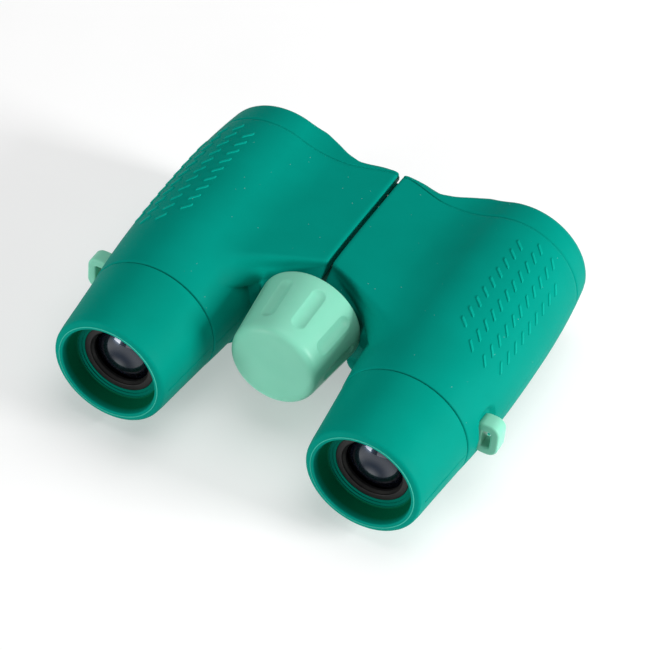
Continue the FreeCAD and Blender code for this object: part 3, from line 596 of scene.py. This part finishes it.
# How densely the skin's mesh is laid out
COLUMN_STEP = 0.5
COLUMN_BEND = math.radians(6.0)
COARSE_TURNS = 20001
ROW_STEP = 0.6
FINE_ROW_STEP = 0.3
ROWS_AT_SEAM = 5
ROWS_TO_GROOVE = 46
ROWS_IN_GROOVE = 9
ROWS_TO_EDGE = 9
ROWS_ROUND_EDGE = 7
ROWS_ON_FACE = 26
ROWS_ROUND_LIP = 5
ROWS_ON_WALL = 60


def barrel_radius(station):
    """The barrel's own radius, which is largest at its belly."""
    behind = REAR_DROP * (np.clip(BELLY_STATION - station, 0, None)
                          / (BELLY_STATION - SEAM_STATION)) ** DROP_POWER
    ahead = FRONT_DROP * (np.clip(station - BELLY_STATION, 0, None)
                          / (LENGTH - BELLY_STATION)) ** DROP_POWER
    return BARREL_R - behind - ahead


def bridge_top(station):
    """The height of the bridge's top, which rises a little towards its rear."""
    rise = smooth((LENGTH - station) / (LENGTH - RECESS_FRONT))
    return BRIDGE_TOP_FRONT + (BRIDGE_TOP_REAR - BRIDGE_TOP_FRONT) * rise


def arm_radius(angle, station, inset, height):
    """From the barrel's axis to the bridge's face, on the side given by its height."""
    barrel = barrel_radius(station) - inset
    height = height - inset
    saddle = SADDLE_R + inset
    centre_z = height + saddle
    centre_x = -np.sqrt((barrel + saddle) ** 2 - centre_z ** 2)
    leaves = np.arctan2(centre_z, centre_x)
    meets = np.arctan2(height, centre_x)
    along = np.cos(angle) * centre_x + np.sin(angle) * centre_z
    root = np.clip(along ** 2 - centre_x ** 2 - centre_z ** 2 + saddle ** 2, 0, None)
    on_arc = along - np.sqrt(root)
    on_flat = height / np.clip(np.sin(angle), LEAST_SINE, None)
    return np.where(angle <= leaves, barrel, np.where(angle <= meets, on_arc, on_flat))


def recess_end(angle, inset):
    """Where the bridge is full: further back on the barrel's side than at the hinge."""
    turn = (180.0 - np.degrees(angle) - SPREAD_START) / SPREAD_SPAN
    turn = np.clip(turn, 0.0, 1.0)
    side_share = (1 - np.exp(-SPREAD_POWER * turn)) / (1 - math.exp(-SPREAD_POWER))
    return RECESS_FRONT + inset - (RECESS_FRONT - RECESS_SIDE) * side_share


def recess_growth(angle, station, inset):
    """How far the bridge has grown out of the barrel, from 0 behind to 1 in front."""
    return smooth((station - recess_end(angle, inset) + RECESS_ROLL) / RECESS_ROLL)


def recess_fall(angle, station, inset):
    """How far the bridge's top has come down behind its soft ridge."""
    behind = recess_end(angle, inset) - station
    behind = (behind + np.sqrt(behind ** 2 + CREST_ROUND ** 2)) / 2
    return SLOPE_FALL * behind + SLOPE_BEND * behind ** 3


def ray_to_axle(turn, radius):
    """From the barrel's axis to a cylinder round the axle, and how far off it misses."""
    cos, sin = np.cos(turn), np.sin(turn)
    along = -cos * BARREL_X + sin * HINGE_Z
    inside = along ** 2 - BARREL_X ** 2 - HINGE_Z ** 2 + radius ** 2
    meets = (inside > 0) & (cos < 0)
    return np.where(meets, along - np.sqrt(np.clip(inside, 0, None)), FAR_OFF)


def wheel_limit(turn, station, inset):
    """Keeps the recess clear of the focus wheel."""
    share = (station - WHEEL_REAR) / (WHEEL_FRONT - WHEEL_REAR)
    wheel = WHEEL_REAR_R + (WHEEL_R - WHEEL_REAR_R) * np.clip(share, 0.0, 1.0)
    past = smooth((station - WHEEL_FRONT - WHEEL_CLEARANCE) / WHEEL_CLEAR_RUN)
    radius = (wheel + WHEEL_CLEARANCE) * (1 - past) + KNUCKLE_R * past + inset
    return ray_to_axle(turn, radius)


def hinge_limit(turn, inset):
    """From the barrel's axis to the hinge gap, the fold's wedge and the knuckles."""
    cos, sin = np.cos(turn), np.sin(turn)
    plane = BARREL_X - (HALF_GAP - PROUD + inset)
    gap = np.where(cos < -LEAST_LEAN, plane / np.clip(-cos, LEAST_LEAN, None), FAR_OFF)
    slope_x, slope_z = -math.cos(RELIEF_ANGLE), -math.sin(RELIEF_ANGLE)
    reach = slope_x * (-plane) + slope_z * HINGE_Z
    lean = cos * slope_x + sin * slope_z
    wedge = np.where(lean > LEAST_LEAN, reach / np.clip(lean, LEAST_LEAN, None), FAR_OFF)
    near = ray_to_axle(turn, RELIEF_R - PROUD + inset)
    return np.minimum(soft_min(gap, wedge, CORNER_BLEND), near)


def half_radius(turn, station, inset):
    """From the barrel's axis to the skin, all the way round the right half.

    Above, the bridge falls in a slope behind a soft ridge, and below in a short roll.
    """
    above = turn <= math.pi
    angle = np.where(above, turn, 2 * math.pi - turn)
    barrel = barrel_radius(station) - inset
    growth = recess_growth(angle, station, inset)
    top = bridge_top(station)
    height = np.where(above, top, BRIDGE_BOTTOM)
    rolled = barrel + growth * (arm_radius(angle, station, inset, height) - barrel)
    roof = (top - BARREL_X * math.tan(ROOF_TILT)) * math.cos(ROOF_TILT)
    roof = np.maximum(roof - recess_fall(angle, station, inset), LOWEST_ROOF)
    sloped = np.maximum(arm_radius(angle + ROOF_TILT, station, inset, roof), barrel)
    sloped = -soft_min(-sloped, SKIN_SLACK - rolled, SLACK_BLEND)
    from_hinge = 180.0 - np.degrees(angle)
    share = np.where(above, smooth((from_hinge - SLOPE_NEAR) / SLOPE_SPREAD), 0.0)
    grown = rolled + (sloped - rolled) * share
    grown = soft_min(grown, wheel_limit(turn, station, inset), WHEEL_BLEND)
    return soft_min(grown, hinge_limit(turn, inset), CORNER_BLEND)


def edge_station(x):
    """The front edge's station at a distance from the middle, smoothly joined."""
    knots = np.array(EDGE_X_SHARES) * BARREL_X
    fine = np.linspace(EDGE_PAST_MIDDLE, BARREL_X, EDGE_SAMPLES)
    steps = np.interp(fine, knots, EDGE_BACK, right=0.0)
    padded = np.pad(steps, EDGE_EASE_WIDTH // 2, mode="edge")
    window = np.hanning(EDGE_EASE_WIDTH)
    eased = np.convolve(padded, window / window.sum(), "valid")
    return LENGTH - np.interp(x, fine, eased)


def groove_station(x):
    """The groove's station, which runs forward near the middle."""
    lead = GROOVE_LEAD * (1 - smooth((x - HALF_GAP) / GROOVE_SPREAD))
    return LENGTH - GROOVE_SETBACK + lead


def section_turns():
    """Angles for the columns, spaced along the full section's own outline."""
    station = (LENGTH + RECESS_FRONT) / 2
    coarse = np.linspace(0.0, 2 * math.pi, COARSE_TURNS)
    radius = half_radius(coarse, station, 0.0)
    x, z = radius * np.cos(coarse), radius * np.sin(coarse)
    step = np.hypot(np.diff(x), np.diff(z))
    bend = np.abs(np.diff(np.unwrap(np.arctan2(np.diff(z), np.diff(x)))))
    weight = step / COLUMN_STEP + np.append(bend, 0.0) / COLUMN_BEND
    reach = np.concatenate([[0.0], np.cumsum(weight)])
    count = int(reach[-1])
    return np.interp(np.linspace(0, reach[-1], count, endpoint=False), reach, coarse)


def later_shares(count):
    """Even shares of a length, without its start."""
    return np.linspace(0.0, 1.0, count)[1:]


class SkinForm:
    """The right half's skin as rows of points round the barrel's axis."""

    def __init__(self):
        self.turns = section_turns()
        front = self.ring(LENGTH - BRIDGE_SETBACK, 0.0)
        self.edge = edge_station(front[:, 0])
        self.groove = np.minimum(groove_station(front[:, 0]), self.edge - GROOVE_FROM_EDGE)
        room = self.edge - self.groove - GROOVE_HALF_WIDTH - FRONT_ROUND_GAP
        self.front_round = np.clip(room, FRONT_ROUND_LEAST, FRONT_ROUND_MOST)

    def ring(self, station, inset):
        station = np.broadcast_to(station, self.turns.shape)
        radius = half_radius(self.turns, station, inset)
        radius = radius - self.pocket(station, radius)
        return self.on_ring(radius, station)

    def on_ring(self, radius, station):
        return np.stack([BARREL_X + radius * np.cos(self.turns),
                         np.broadcast_to(station, self.turns.shape),
                         radius * np.sin(self.turns)], axis=1)

    def pocket(self, station, radius):
        """The shallow moulded pocket that the strap lug stands in."""
        height = radius * np.sin(self.turns)
        lug_station = (LUG_LOW[1] + LUG_HIGH[1]) / 2 - RIM_Y + POCKET_LEAD
        along = np.abs(station - lug_station) - POCKET_HALF_LENGTH
        across = np.abs(height) - POCKET_HALF_HEIGHT
        outside = np.hypot(np.clip(along + POCKET_CORNER, 0, None),
                           np.clip(across + POCKET_CORNER, 0, None)) - POCKET_CORNER
        depth = POCKET_DEPTH * smooth(0.5 - outside / POCKET_EDGE)
        return np.where(np.cos(self.turns) > 0.0, depth, 0.0)

    def outer_rows(self):
        """The outside, from the seam over the groove to the rounded front edge."""
        rows = []
        for step in np.linspace(0.0, 1.0, ROWS_AT_SEAM):
            turn = step * math.pi / 2
            rows.append(self.ring(SEAM_STATION + SEAM_ROUND * (1 - math.cos(turn)),
                                  SEAM_ROUND * (1 - math.sin(turn))))
        start = SEAM_STATION + SEAM_ROUND
        stations = np.concatenate([
            np.arange(start + ROW_STEP, RECESS_SIDE - 1.0, ROW_STEP),
            np.arange(RECESS_SIDE - 1.0, RECESS_FRONT + 1.0, FINE_ROW_STEP)])
        rows += [self.ring(station, 0.0) for station in stations]
        last = stations[-1]
        before_groove = self.groove - GROOVE_HALF_WIDTH
        for share in later_shares(ROWS_TO_GROOVE):
            rows.append(self.ring(last + (before_groove - last) * share, 0.0))
        for share in np.linspace(-1.0, 1.0, ROWS_IN_GROOVE)[1:]:
            depth = GROOVE_DEPTH * math.cos(share * math.pi / 2) ** 2
            rows.append(self.ring(self.groove + GROOVE_HALF_WIDTH * share, depth))
        after_groove = self.groove + GROOVE_HALF_WIDTH
        end = self.edge - self.front_round
        for share in later_shares(ROWS_TO_EDGE):
            rows.append(self.ring(after_groove + (end - after_groove) * share, 0.0))
        for step in later_shares(ROWS_ROUND_EDGE):
            turn = step * math.pi / 2
            station = end + self.front_round * math.sin(turn)
            rows.append(self.ring(station, self.front_round * (1 - math.cos(turn))))
        return rows

    def front_rows(self, rim):
        """Across the front face and round the lip of its opening."""
        rim_radius = np.hypot(rim[:, 0] - BARREL_X, rim[:, 2])
        opening = FRONT_OPENING_R + LIP_ROUND
        rows = []
        for share in later_shares(ROWS_ON_FACE):
            radius = rim_radius + (opening - rim_radius) * share
            x = BARREL_X + radius * np.cos(self.turns)
            rows.append(self.on_ring(radius, edge_station(x)))
        face = rows[-1][:, 1]
        for step in later_shares(ROWS_ROUND_LIP):
            turn = step * math.pi / 2
            radius = np.full_like(self.turns, opening - LIP_ROUND * math.sin(turn))
            rows.append(self.on_ring(radius, face - LIP_ROUND * (1 - math.cos(turn))))
        return rows

    def inner_rows(self, opening_row):
        """The opening's bore and the inside of the wall, back to the seam."""
        lip = self.edge - FRONT_LIP
        bore = np.full_like(self.turns, FRONT_OPENING_R)
        rows = [self.on_ring(bore, opening_row[:, 1] - FRONT_LIP)]
        rows.append(self.ring(lip, SKIN_WALL))
        for share in later_shares(ROWS_ON_WALL):
            rows.append(self.ring(lip + (SEAM_STATION - lip) * share, SKIN_WALL))
        return rows

    def shell(self):
        outer = self.outer_rows()
        front = self.front_rows(outer[-1])
        inner = self.inner_rows(front[-1])
        shell = Shell()
        shell.add_rows(outer + front + inner, joined=True)
        return shell


# Grip pattern

# Each row of raised dashes: the angles of its two ends above the outward side, how
# many dashes it has and the station of the one furthest forward
DASH_ROWS = (
    (82.4, 75.0, 9, 72.0),
    (68.0, 60.7, 11, 74.9),
    (53.4, 46.0, 11, 74.4),
    (39.0, 31.8, 9, 69.9),
)
DASH_PITCH = 3.77
DASH_LEAN = 2.3
DASH_HALF_WIDTH = 0.54
DASH_HEIGHT = 0.33
DASH_SINK = 0.35

# How square a dash's ends and section are, and how finely it is laid out
DASH_END_POWER = 16
DASH_SIDE_POWER = 10
DASH_THINNEST = 0.05
DASH_FOOT = 0.9
DASH_STEPS = 14
DASH_POINTS = 11


def dash_rows(high, low, station):
    """One raised dash, laid on the barrel from its upper to its lower end."""
    rows = []
    for share in np.linspace(0.0, 1.0, DASH_STEPS):
        along = 2 * share - 1
        swell = math.sqrt(max(0.0, 1.0 - along ** DASH_END_POWER))
        angle = math.radians(high + (low - high) * share)
        middle = station - DASH_LEAN * (share - 0.5)
        surface = barrel_radius(middle)
        top = [(u, DASH_HEIGHT * swell * (1 - u ** DASH_SIDE_POWER))
               for u in np.linspace(-1.0, 1.0, DASH_POINTS)]
        ring = []
        for u, height in top + [(DASH_FOOT, -DASH_SINK), (-DASH_FOOT, -DASH_SINK)]:
            side = DASH_HALF_WIDTH * max(swell, DASH_THINNEST) * u
            radius = surface + height
            ring.append((BARREL_X + radius * math.cos(angle), middle + side,
                         radius * math.sin(angle)))
        rows.append(ring)
    return rows


def add_grip(shell):
    """All the dashes of one barrel."""
    for high, low, count, front in DASH_ROWS:
        for number in range(count):
            shell.add_rows(dash_rows(high, low, front - DASH_PITCH * number))


# Mould parting lines

PART_LINE_R = 0.09
PART_LINE_SIDES = 6
PART_LINE_MARGIN = 1.0
OUTER_LINE_POINTS = 60
INNER_LINE_POINTS = 30
# The outer line stops at both ends of the lug's pocket
POCKET_STATION = 29.0
POCKET_REACH = 5.0


def add_thread(shell, path):
    """A fine raised line along a path of points, half sunk in the surface."""
    path = np.asarray(path, float)
    along = np.gradient(path, axis=0)
    along /= np.linalg.norm(along, axis=1)[:, None]
    rows = []
    for point, way in zip(path, along):
        across = np.cross(way, (0.0, 0.0, 1.0))
        across /= np.linalg.norm(across)
        other = np.cross(way, across)
        rows.append([point + PART_LINE_R * (math.cos(turn) * across + math.sin(turn) * other)
                     for turn in np.linspace(0.0, 2 * math.pi, PART_LINE_SIDES,
                                             endpoint=False)])
    shell.add_rows(rows)


def add_barrel_part_lines(shell):
    start = SEAM_STATION + PART_LINE_MARGIN
    end = LENGTH - GROOVE_SETBACK - PART_LINE_MARGIN
    outer = [(BARREL_X + barrel_radius(station), station, 0.0)
             for station in np.linspace(start, end, OUTER_LINE_POINTS)]
    behind = [point for point in outer if point[1] < POCKET_STATION - POCKET_REACH]
    ahead = [point for point in outer if point[1] > POCKET_STATION + POCKET_REACH]
    inner = [(BARREL_X - barrel_radius(station), station, 0.0)
             for station in np.linspace(start, RECESS_FRONT - RECESS_ROLL, INNER_LINE_POINTS)]
    for path in (behind, ahead, inner):
        add_thread(shell, path)


def build_skins():
    skin = SkinForm().shell()
    add_barrel_part_lines(skin)
    grip = Shell()
    add_grip(grip)
    # The dashes are a paler teal, a painted highlight on their tops
    pieces_on_both_sides(("soft_skin", skin, "skin_rubber", TEAL, "skin"),
                         ("grip_dashes", grip, "skin_rubber", GRIP_TEAL_PAINTED_HIGHLIGHT, None))


# Eyecups and eyepieces

CUP_RIM_R = 13.05
CUP_OUTLINE = (
    (CUP_RIM_R, 0.12), (14.5, 0.45), (14.85, 3.0), (15.45, 10.0), (16.45, SEAM_STATION - 0.12),
    (14.1, SEAM_STATION - 0.12), (14.1, 8.5), (12.1, 8.5), (12.1, 6.0), (9.25, 6.0),
    (9.25, 5.25), (9.95, 5.25), (9.95, 4.95), (10.65, 4.95), (10.65, 4.65), (11.1, 4.65),
    (12.05, 1.1), (12.3, 0.2),
)
CUP_ROUNDS = (0.5, 1.3, 2.0, 6.0, 0.4, 0.1, 0.1, 0.1, 0.1, 0.05, 0.08, 0.05, 0.08, 0.05, 0.08,
              0.25, 0.5, 0.45)
CUP_ROUND_STEPS = 6
CUP_COLUMNS = 160
CREST_THICKNESS = 0.11
CREST_SIDES = 10

# The parting lines on a cup, half sunk in its taper
CUP_LINE_R = 14.95
CUP_LINE_STATION = 4.0
CUP_LINE_TAPER = 0.088
CUP_LINE_START = 2.5
CUP_LINE_END = SEAM_STATION - 0.8
CUP_LINE_POINTS = 24


def turned_circle(radius, station, thickness):
    """The outline of a thin round ring."""
    return [(radius + thickness * math.cos(turn), station + thickness * math.sin(turn))
            for turn in np.linspace(0.0, 2 * math.pi, CREST_SIDES, endpoint=False)]


def build_eyecups():
    outline = rounded(CUP_OUTLINE, CUP_ROUNDS, CUP_ROUND_STEPS)
    cup = turned_shell(outline, BARREL_X, 0.0, CUP_COLUMNS)
    for sign in (-1.0, 1.0):
        path = [(BARREL_X + sign * (CUP_LINE_R + (y - CUP_LINE_STATION) * CUP_LINE_TAPER),
                 y, 0.0)
                for y in np.linspace(CUP_LINE_START, CUP_LINE_END, CUP_LINE_POINTS)]
        add_thread(cup, path)
    # A fine ring on the rim's crest in a pale teal: a painted highlight
    crest = turned_shell(turned_circle(CUP_RIM_R, CREST_THICKNESS, CREST_THICKNESS),
                         BARREL_X, 0.0, CUP_COLUMNS)
    pieces_on_both_sides(("soft_eyecup", cup, "eyecup_rubber", CUP_TEAL_PAINTED_SHADE, "eyecup"),
                         ("rim_crest", crest, "eyecup_rubber", CREST_PAINTED_HIGHLIGHT, None))


RING_COLUMNS = 128
LENS_RING_OUTER = (RING_HIGH[0] - RING_LOW[0]) / 2
LENS_RING_REAR = RING_LOW[1] - RIM_Y
LENS_RING_FRONT = RING_HIGH[1] - RIM_Y
LENS_OPENING = 7.2
LENS_RING_ROUND = 0.15
LENS_RING_ROUND_STEPS = 4


def build_lens_rings():
    """Black rings: a flat outer land, a small step and a slope down to the glass."""
    rear, front = LENS_RING_REAR, LENS_RING_FRONT
    outline = (
        (LENS_RING_OUTER, rear), (LENS_RING_OUTER, front - 0.05), (LENS_OPENING, front - 0.05),
        (LENS_OPENING + 0.05, rear + 0.9), (LENS_OPENING + 0.5, rear + 0.35),
        (LENS_OPENING + 0.6, rear),
    )
    outline = rounded(outline, LENS_RING_ROUND, LENS_RING_ROUND_STEPS)
    ring = turned_shell(outline, BARREL_X, 0.0, RING_COLUMNS)
    pieces_on_both_sides(("retaining_ring", ring, "black_plastic", BLACK, "eye_lens_ring"))


LENS_LOW, LENS_HIGH = node_box("right_eye_lens")
LENS_R = (LENS_HIGH[0] - LENS_LOW[0]) / 2
LENS_BULGE = 1.1
LENS_APEX = LENS_LOW[1] - RIM_Y - LENS_BULGE
LENS_END = LENS_HIGH[1] - RIM_Y
LENS_CURVE = 10.2
LENS_BACK_CURVE = 16.0
LENS_EDGE_LENGTH = 0.5
LENS_BACK_BEVEL = 0.9
LENS_ROWS = 26
LENS_COLUMNS = 96


def dome(apex, curve, reach, way):
    """Points on a ball's face, from its top out to a radius."""
    points = []
    for radius in np.linspace(NEAR_AXIS, reach, LENS_ROWS):
        drop = curve - math.sqrt(curve ** 2 - radius ** 2)
        points.append((radius, apex + way * drop))
    return points


def build_eye_lenses():
    """Strongly curved glasses, so that lamps show in them as small bright patches."""
    front = dome(LENS_APEX, LENS_CURVE, LENS_OPENING - 0.05, 1.0)
    back = dome(LENS_END, LENS_BACK_CURVE, LENS_R - LENS_BACK_BEVEL, -1.0)
    behind_ring = max(front[-1][1] + 0.1, LENS_RING_FRONT + 0.02)
    edge = [(LENS_R, behind_ring), (LENS_R, behind_ring + LENS_EDGE_LENGTH)]
    glass = Shell()
    glass.add_rows(turned_rows(front + edge + back[::-1], BARREL_X, 0.0, LENS_COLUMNS))
    pieces_on_both_sides(("eye_glass", glass, "lens_glass", EYE_GLASS, "eye_lens"))


FRONT_RING_WALL = 1.98
STOP_COUNT = 4
STOP_PITCH = 0.9
STOP_DEPTH = 0.28
STOP_START = 0.7
STOP_ROUND = 0.04
STOP_ROUND_STEPS = 2


def build_front_rings():
    """Black rings in the front openings, with fine steps that stop stray light."""
    outer = (FRONT_HIGH[0] - FRONT_LOW[0]) / 2
    rear, front = FRONT_LOW[1] - RIM_Y, FRONT_HIGH[1] - RIM_Y
    bore = outer - FRONT_RING_WALL
    outline = [(outer, rear), (outer, front), (bore + 0.5, front), (bore, front - 0.5)]
    for number in range(STOP_COUNT):
        station = front - STOP_START - STOP_PITCH * number
        outline += [(bore, station), (bore + STOP_DEPTH, station - 0.1),
                    (bore + STOP_DEPTH, station - STOP_PITCH + 0.3),
                    (bore, station - STOP_PITCH + 0.2)]
    outline += [(bore, rear)]
    outline = rounded(outline, STOP_ROUND, STOP_ROUND_STEPS)
    ring = turned_shell(outline, BARREL_X, 0.0, RING_COLUMNS)
    pieces_on_both_sides(("front_trim", ring, "black_plastic", BLACK, "front_ring"))


# Focus wheel

FLUTE_COUNT = 9
FLUTE_REAR = 22.2
FLUTE_FRONT = 34.8
FLUTE_HALF_WIDTH = 1.9
FLUTE_DEPTH = 0.6
FLUTE_EDGE = 0.4
FLUTE_START = 34.0
WHEEL_WALL = 2.2
HUB_R = 6.0
HUB_BORE_R = 4.02
WHEEL_ROUNDS = (0, 2.4, 1.5, 0.5, 0.6, 0.3, 0.3, 0.2, 0.2, 0)
WHEEL_ROUND_STEPS = 10
WHEEL_COLUMNS = 432
WHEEL_ROW_STEP = 0.22


def flute_inset(angles, station, radius):
    """How deep the flutes cut at points round the wheel."""
    pitch = 2 * math.pi / FLUTE_COUNT
    turn = (angles - math.radians(FLUTE_START) + pitch / 2) % pitch - pitch / 2
    half = FLUTE_HALF_WIDTH
    middle = min(max(station, FLUTE_REAR + half), FLUTE_FRONT - half)
    away = np.hypot(turn * radius, station - middle)
    trough = np.clip(1.0 - (away / half) ** 2, 0.0, 1.0)
    return FLUTE_DEPTH * trough * smooth((half - away) / FLUTE_EDGE + 0.2)


def build_wheel():
    """The wheel from its rear face round its fluted side and into its hollow."""
    angles = np.linspace(0.0, 2 * math.pi, WHEEL_COLUMNS, endpoint=False)
    floor = WHEEL_REAR + WHEEL_WALL
    outer = rounded([(NEAR_AXIS, WHEEL_REAR), (WHEEL_REAR_R - 0.1, WHEEL_REAR),
                     (WHEEL_R + 0.08, WHEEL_FRONT), (WHEEL_R - WHEEL_WALL, WHEEL_FRONT),
                     (WHEEL_REAR_R - WHEEL_WALL, floor), (HUB_R, floor),
                     (HUB_R, WHEEL_FRONT - 0.1), (HUB_BORE_R, WHEEL_FRONT - 0.1),
                     (HUB_BORE_R, floor), (NEAR_AXIS, floor)],
                    WHEEL_ROUNDS, WHEEL_ROUND_STEPS)
    dense = []
    for start, end in zip(outer, outer[1:]):
        parts = max(1, int(np.hypot(*(end - start)) / WHEEL_ROW_STEP))
        dense += [start + (end - start) * step / parts for step in range(parts)]
    dense.append(outer[-1])
    outside_ends = next(i for i, point in enumerate(dense) if point[1] >= WHEEL_FRONT - 0.01)
    rows = []
    for i, (radius, station) in enumerate(dense):
        cut = flute_inset(angles, station, radius) if i < outside_ends else 0.0
        reach = radius - cut
        rows.append(np.stack([reach * np.cos(angles), np.full(WHEEL_COLUMNS, station),
                              HINGE_Z + reach * np.sin(angles)], axis=1))
    wheel = Shell()
    wheel.add_rows(rows)
    piece("fluted_focus_wheel", wheel, "focus_wheel", MINT, ["focus_wheel"])


# Strap lugs

# A lug's reach from its outer side in to its foot, the width of its bar, how round
# the bar is and how round the loop's corners are
LUG_REACH = 6.5
LUG_BAR = 2.25
LUG_ROUND = 0.55
LUG_CORNER = 1.5
LUG_ROUND_STEPS = 5
LUG_CORNER_STEPS = 8


def rounded_box_path(half_x, half_z, corner, steps):
    """Points round a rectangle with rounded corners, with their outward directions."""
    path = []
    for number, (sx, sz) in enumerate(((1, 1), (-1, 1), (-1, -1), (1, -1))):
        for step in range(steps + 1):
            turn = math.pi / 2 * (number + step / steps)
            out = (math.cos(turn), math.sin(turn))
            path.append((sx * (half_x - corner) + corner * out[0],
                         sz * (half_z - corner) + corner * out[1], out))
    return path


def build_lugs():
    """A loop of flat bar with rounded edges, standing in the skin's pocket."""
    height = LUG_HIGH[2] - LUG_LOW[2]
    station = (LUG_LOW[1] + LUG_HIGH[1]) / 2 - RIM_Y
    thickness = LUG_HIGH[1] - LUG_LOW[1]
    inner = LUG_HIGH[0] - LUG_REACH
    middle_x = (LUG_HIGH[0] + inner) / 2
    half_x = (LUG_HIGH[0] - inner - LUG_BAR) / 2
    half_z = (height - LUG_BAR) / 2
    section = rounded_box_path(LUG_BAR / 2, thickness / 2, LUG_ROUND, LUG_ROUND_STEPS)
    rows = []
    for x, z, out in rounded_box_path(half_x, half_z, LUG_CORNER, LUG_CORNER_STEPS):
        rows.append([(middle_x + x + out[0] * across, station + along, z + out[1] * across)
                     for across, along, _ in section])
    loop = Shell()
    loop.add_rows(rows, joined=True)
    pieces_on_both_sides(("strap_loop", loop, "mint_plastic", MINT, "strap_lug"))


# Hinge cap

CAP_GROOVE_OUTER = 4.6
CAP_GROOVE_INNER = 3.9
CAP_GROOVE_DEPTH = 0.35
CAP_GROOVE_SLOPE = 0.2
CAP_EDGE = 0.4
CAP_ROUNDS = (0, 0.05, 0.2, 0.2, 0.08, 0.08, 0.08, 0.08, 0)
CAP_ROUND_STEPS = 3
CAP_COLUMNS = 96


def build_hinge_cap():
    """The cap on the front of the hinge: a flat disc with a turned groove."""
    rear, front = CAP_LOW[1] - RIM_Y, CAP_HIGH[1] - RIM_Y
    floor = front - CAP_GROOVE_DEPTH
    outline = [(NEAR_AXIS, rear), (KNUCKLE_R, rear), (KNUCKLE_R, floor),
               (KNUCKLE_R - CAP_EDGE, front), (CAP_GROOVE_OUTER, front),
               (CAP_GROOVE_OUTER - CAP_GROOVE_SLOPE, floor),
               (CAP_GROOVE_INNER + CAP_GROOVE_SLOPE, floor),
               (CAP_GROOVE_INNER, front), (NEAR_AXIS, front)]
    outline = rounded(outline, CAP_ROUNDS, CAP_ROUND_STEPS)
    cap = Shell()
    cap.add_rows(turned_rows(outline, 0.0, HINGE_Z, CAP_COLUMNS))
    piece("hinge_end_cap", cap, "left_half", DARK_TEAL, ["hinge_cap"])


# Camera, light and table

# The camera's place and what it faces, in millimetres from the rims and the barrels'
# axes, and its lens as a length in the photo's pixels
CAMERA_PLACE = (207.0, -427.9, 503.5)
CAMERA_TARGET = (3.2, 39.007, 1.589)
CAMERA_ROLL = math.radians(5.79)
FOCAL_PX = 3040.0
IMAGE_PX = 650.0
SENSOR_MM = 36.0

# The key lamp stands low on the right, the fill and the card on the eyepiece side,
# where the lenses show them, and the overhead lamp above. All face the same point.
KEY_REACH = 0.8
KEY_ANGLE = math.radians(22.0)
KEY_LEAD = math.radians(8.0)
KEY_PLACE = (KEY_REACH * math.cos(KEY_ANGLE) * math.cos(KEY_LEAD),
             KEY_REACH * math.cos(KEY_ANGLE) * math.sin(KEY_LEAD),
             KEY_REACH * math.sin(KEY_ANGLE))
LIGHT_TARGET = (0.0, 0.0, 0.02)
# Each lamp's name, place in the frame's metres, width and height, and watts
LIGHTS = (
    ("key", KEY_PLACE, (0.22, 0.30), 6.7),
    ("fill", (-0.62, -0.98, 0.2), (0.36, 0.34), 6.0),
    ("card", (0.12, -1.25, 0.17), (0.6, 0.3), 1.1),
    ("overhead", (0.1, 0.1, 1.0), (0.8, 0.8), 4.7),
)
TABLE_HALF_SIZE = 3.0
TABLE_GLOW = 0.38
WORLD_STRENGTH = 0.22


def add_camera():
    """The photo's own view, as it was fitted to the rims, seams and edges."""
    data = bpy.data.cameras.new("view")
    data.sensor_width = SENSOR_MM
    data.sensor_fit = "HORIZONTAL"
    data.lens = FOCAL_PX / IMAGE_PX * SENSOR_MM
    data.clip_start = 0.01
    data.clip_end = 20.0
    camera = bpy.data.objects.new("view", data)
    bpy.context.scene.collection.objects.link(camera)
    place = Vector(to_frame(CAMERA_PLACE))
    back = (place - Vector(to_frame(CAMERA_TARGET))).normalized()
    level = Vector((0, 0, 1)).cross(back).normalized()
    upright = back.cross(level)
    cos, sin = math.cos(CAMERA_ROLL), math.sin(CAMERA_ROLL)
    right = level * cos + upright * sin
    up = upright * cos - level * sin
    turn = Matrix((right, up, back)).transposed().to_4x4()
    camera.matrix_world = Matrix.Translation(place) @ turn
    bpy.context.scene.camera = camera


def add_light(name, place, size, power):
    """A rectangular lamp that faces the object."""
    data = bpy.data.lights.new(name, "AREA")
    data.shape = "RECTANGLE"
    data.size, data.size_y = size
    data.energy = power
    light = bpy.data.objects.new(name, data)
    bpy.context.scene.collection.objects.link(light)
    light.location = place
    way = Vector(LIGHT_TARGET) - Vector(place)
    light.rotation_euler = way.to_track_quat("-Z", "Y").to_euler()


def add_table():
    """A pale table that glows a little, so that its edges fade to white."""
    surface = Surface("pale_table")
    surface.colour(surface.clouds((0.62, 0.62, 0.62, 1.0), (0.65, 0.65, 0.65, 1.0),
                                  grain_mm=60.0))
    surface.set(Roughness=0.8, Specular_IOR_Level=0.1, Emission_Color=(1.0, 1.0, 1.0, 1.0),
                Emission_Strength=TABLE_GLOW)
    far = TABLE_HALF_SIZE
    mesh = bpy.data.meshes.new("table")
    mesh.from_pydata([(-far, -far, 0), (far, -far, 0), (far, far, 0), (-far, far, 0)],
                     [], [(0, 1, 2, 3)])
    mesh.materials.append(surface.material)
    table = bpy.data.objects.new("table", mesh)
    bpy.context.scene.collection.objects.link(table)


def add_world():
    """Even white light from all round."""
    world = bpy.data.worlds.new("studio")
    world.use_nodes = True
    background = world.node_tree.nodes["Background"]
    background.inputs["Color"].default_value = (1.0, 1.0, 1.0, 1.0)
    background.inputs["Strength"].default_value = WORLD_STRENGTH
    bpy.context.scene.world = world
    bpy.context.scene.view_settings.view_transform = "Standard"


finish_solids()
build_skins()
build_eyecups()
build_lens_rings()
build_eye_lenses()
build_front_rings()
build_wheel()
build_lugs()
build_hinge_cap()
add_table()
add_world()
for lamp in LIGHTS:
    add_light(*lamp)
add_camera()
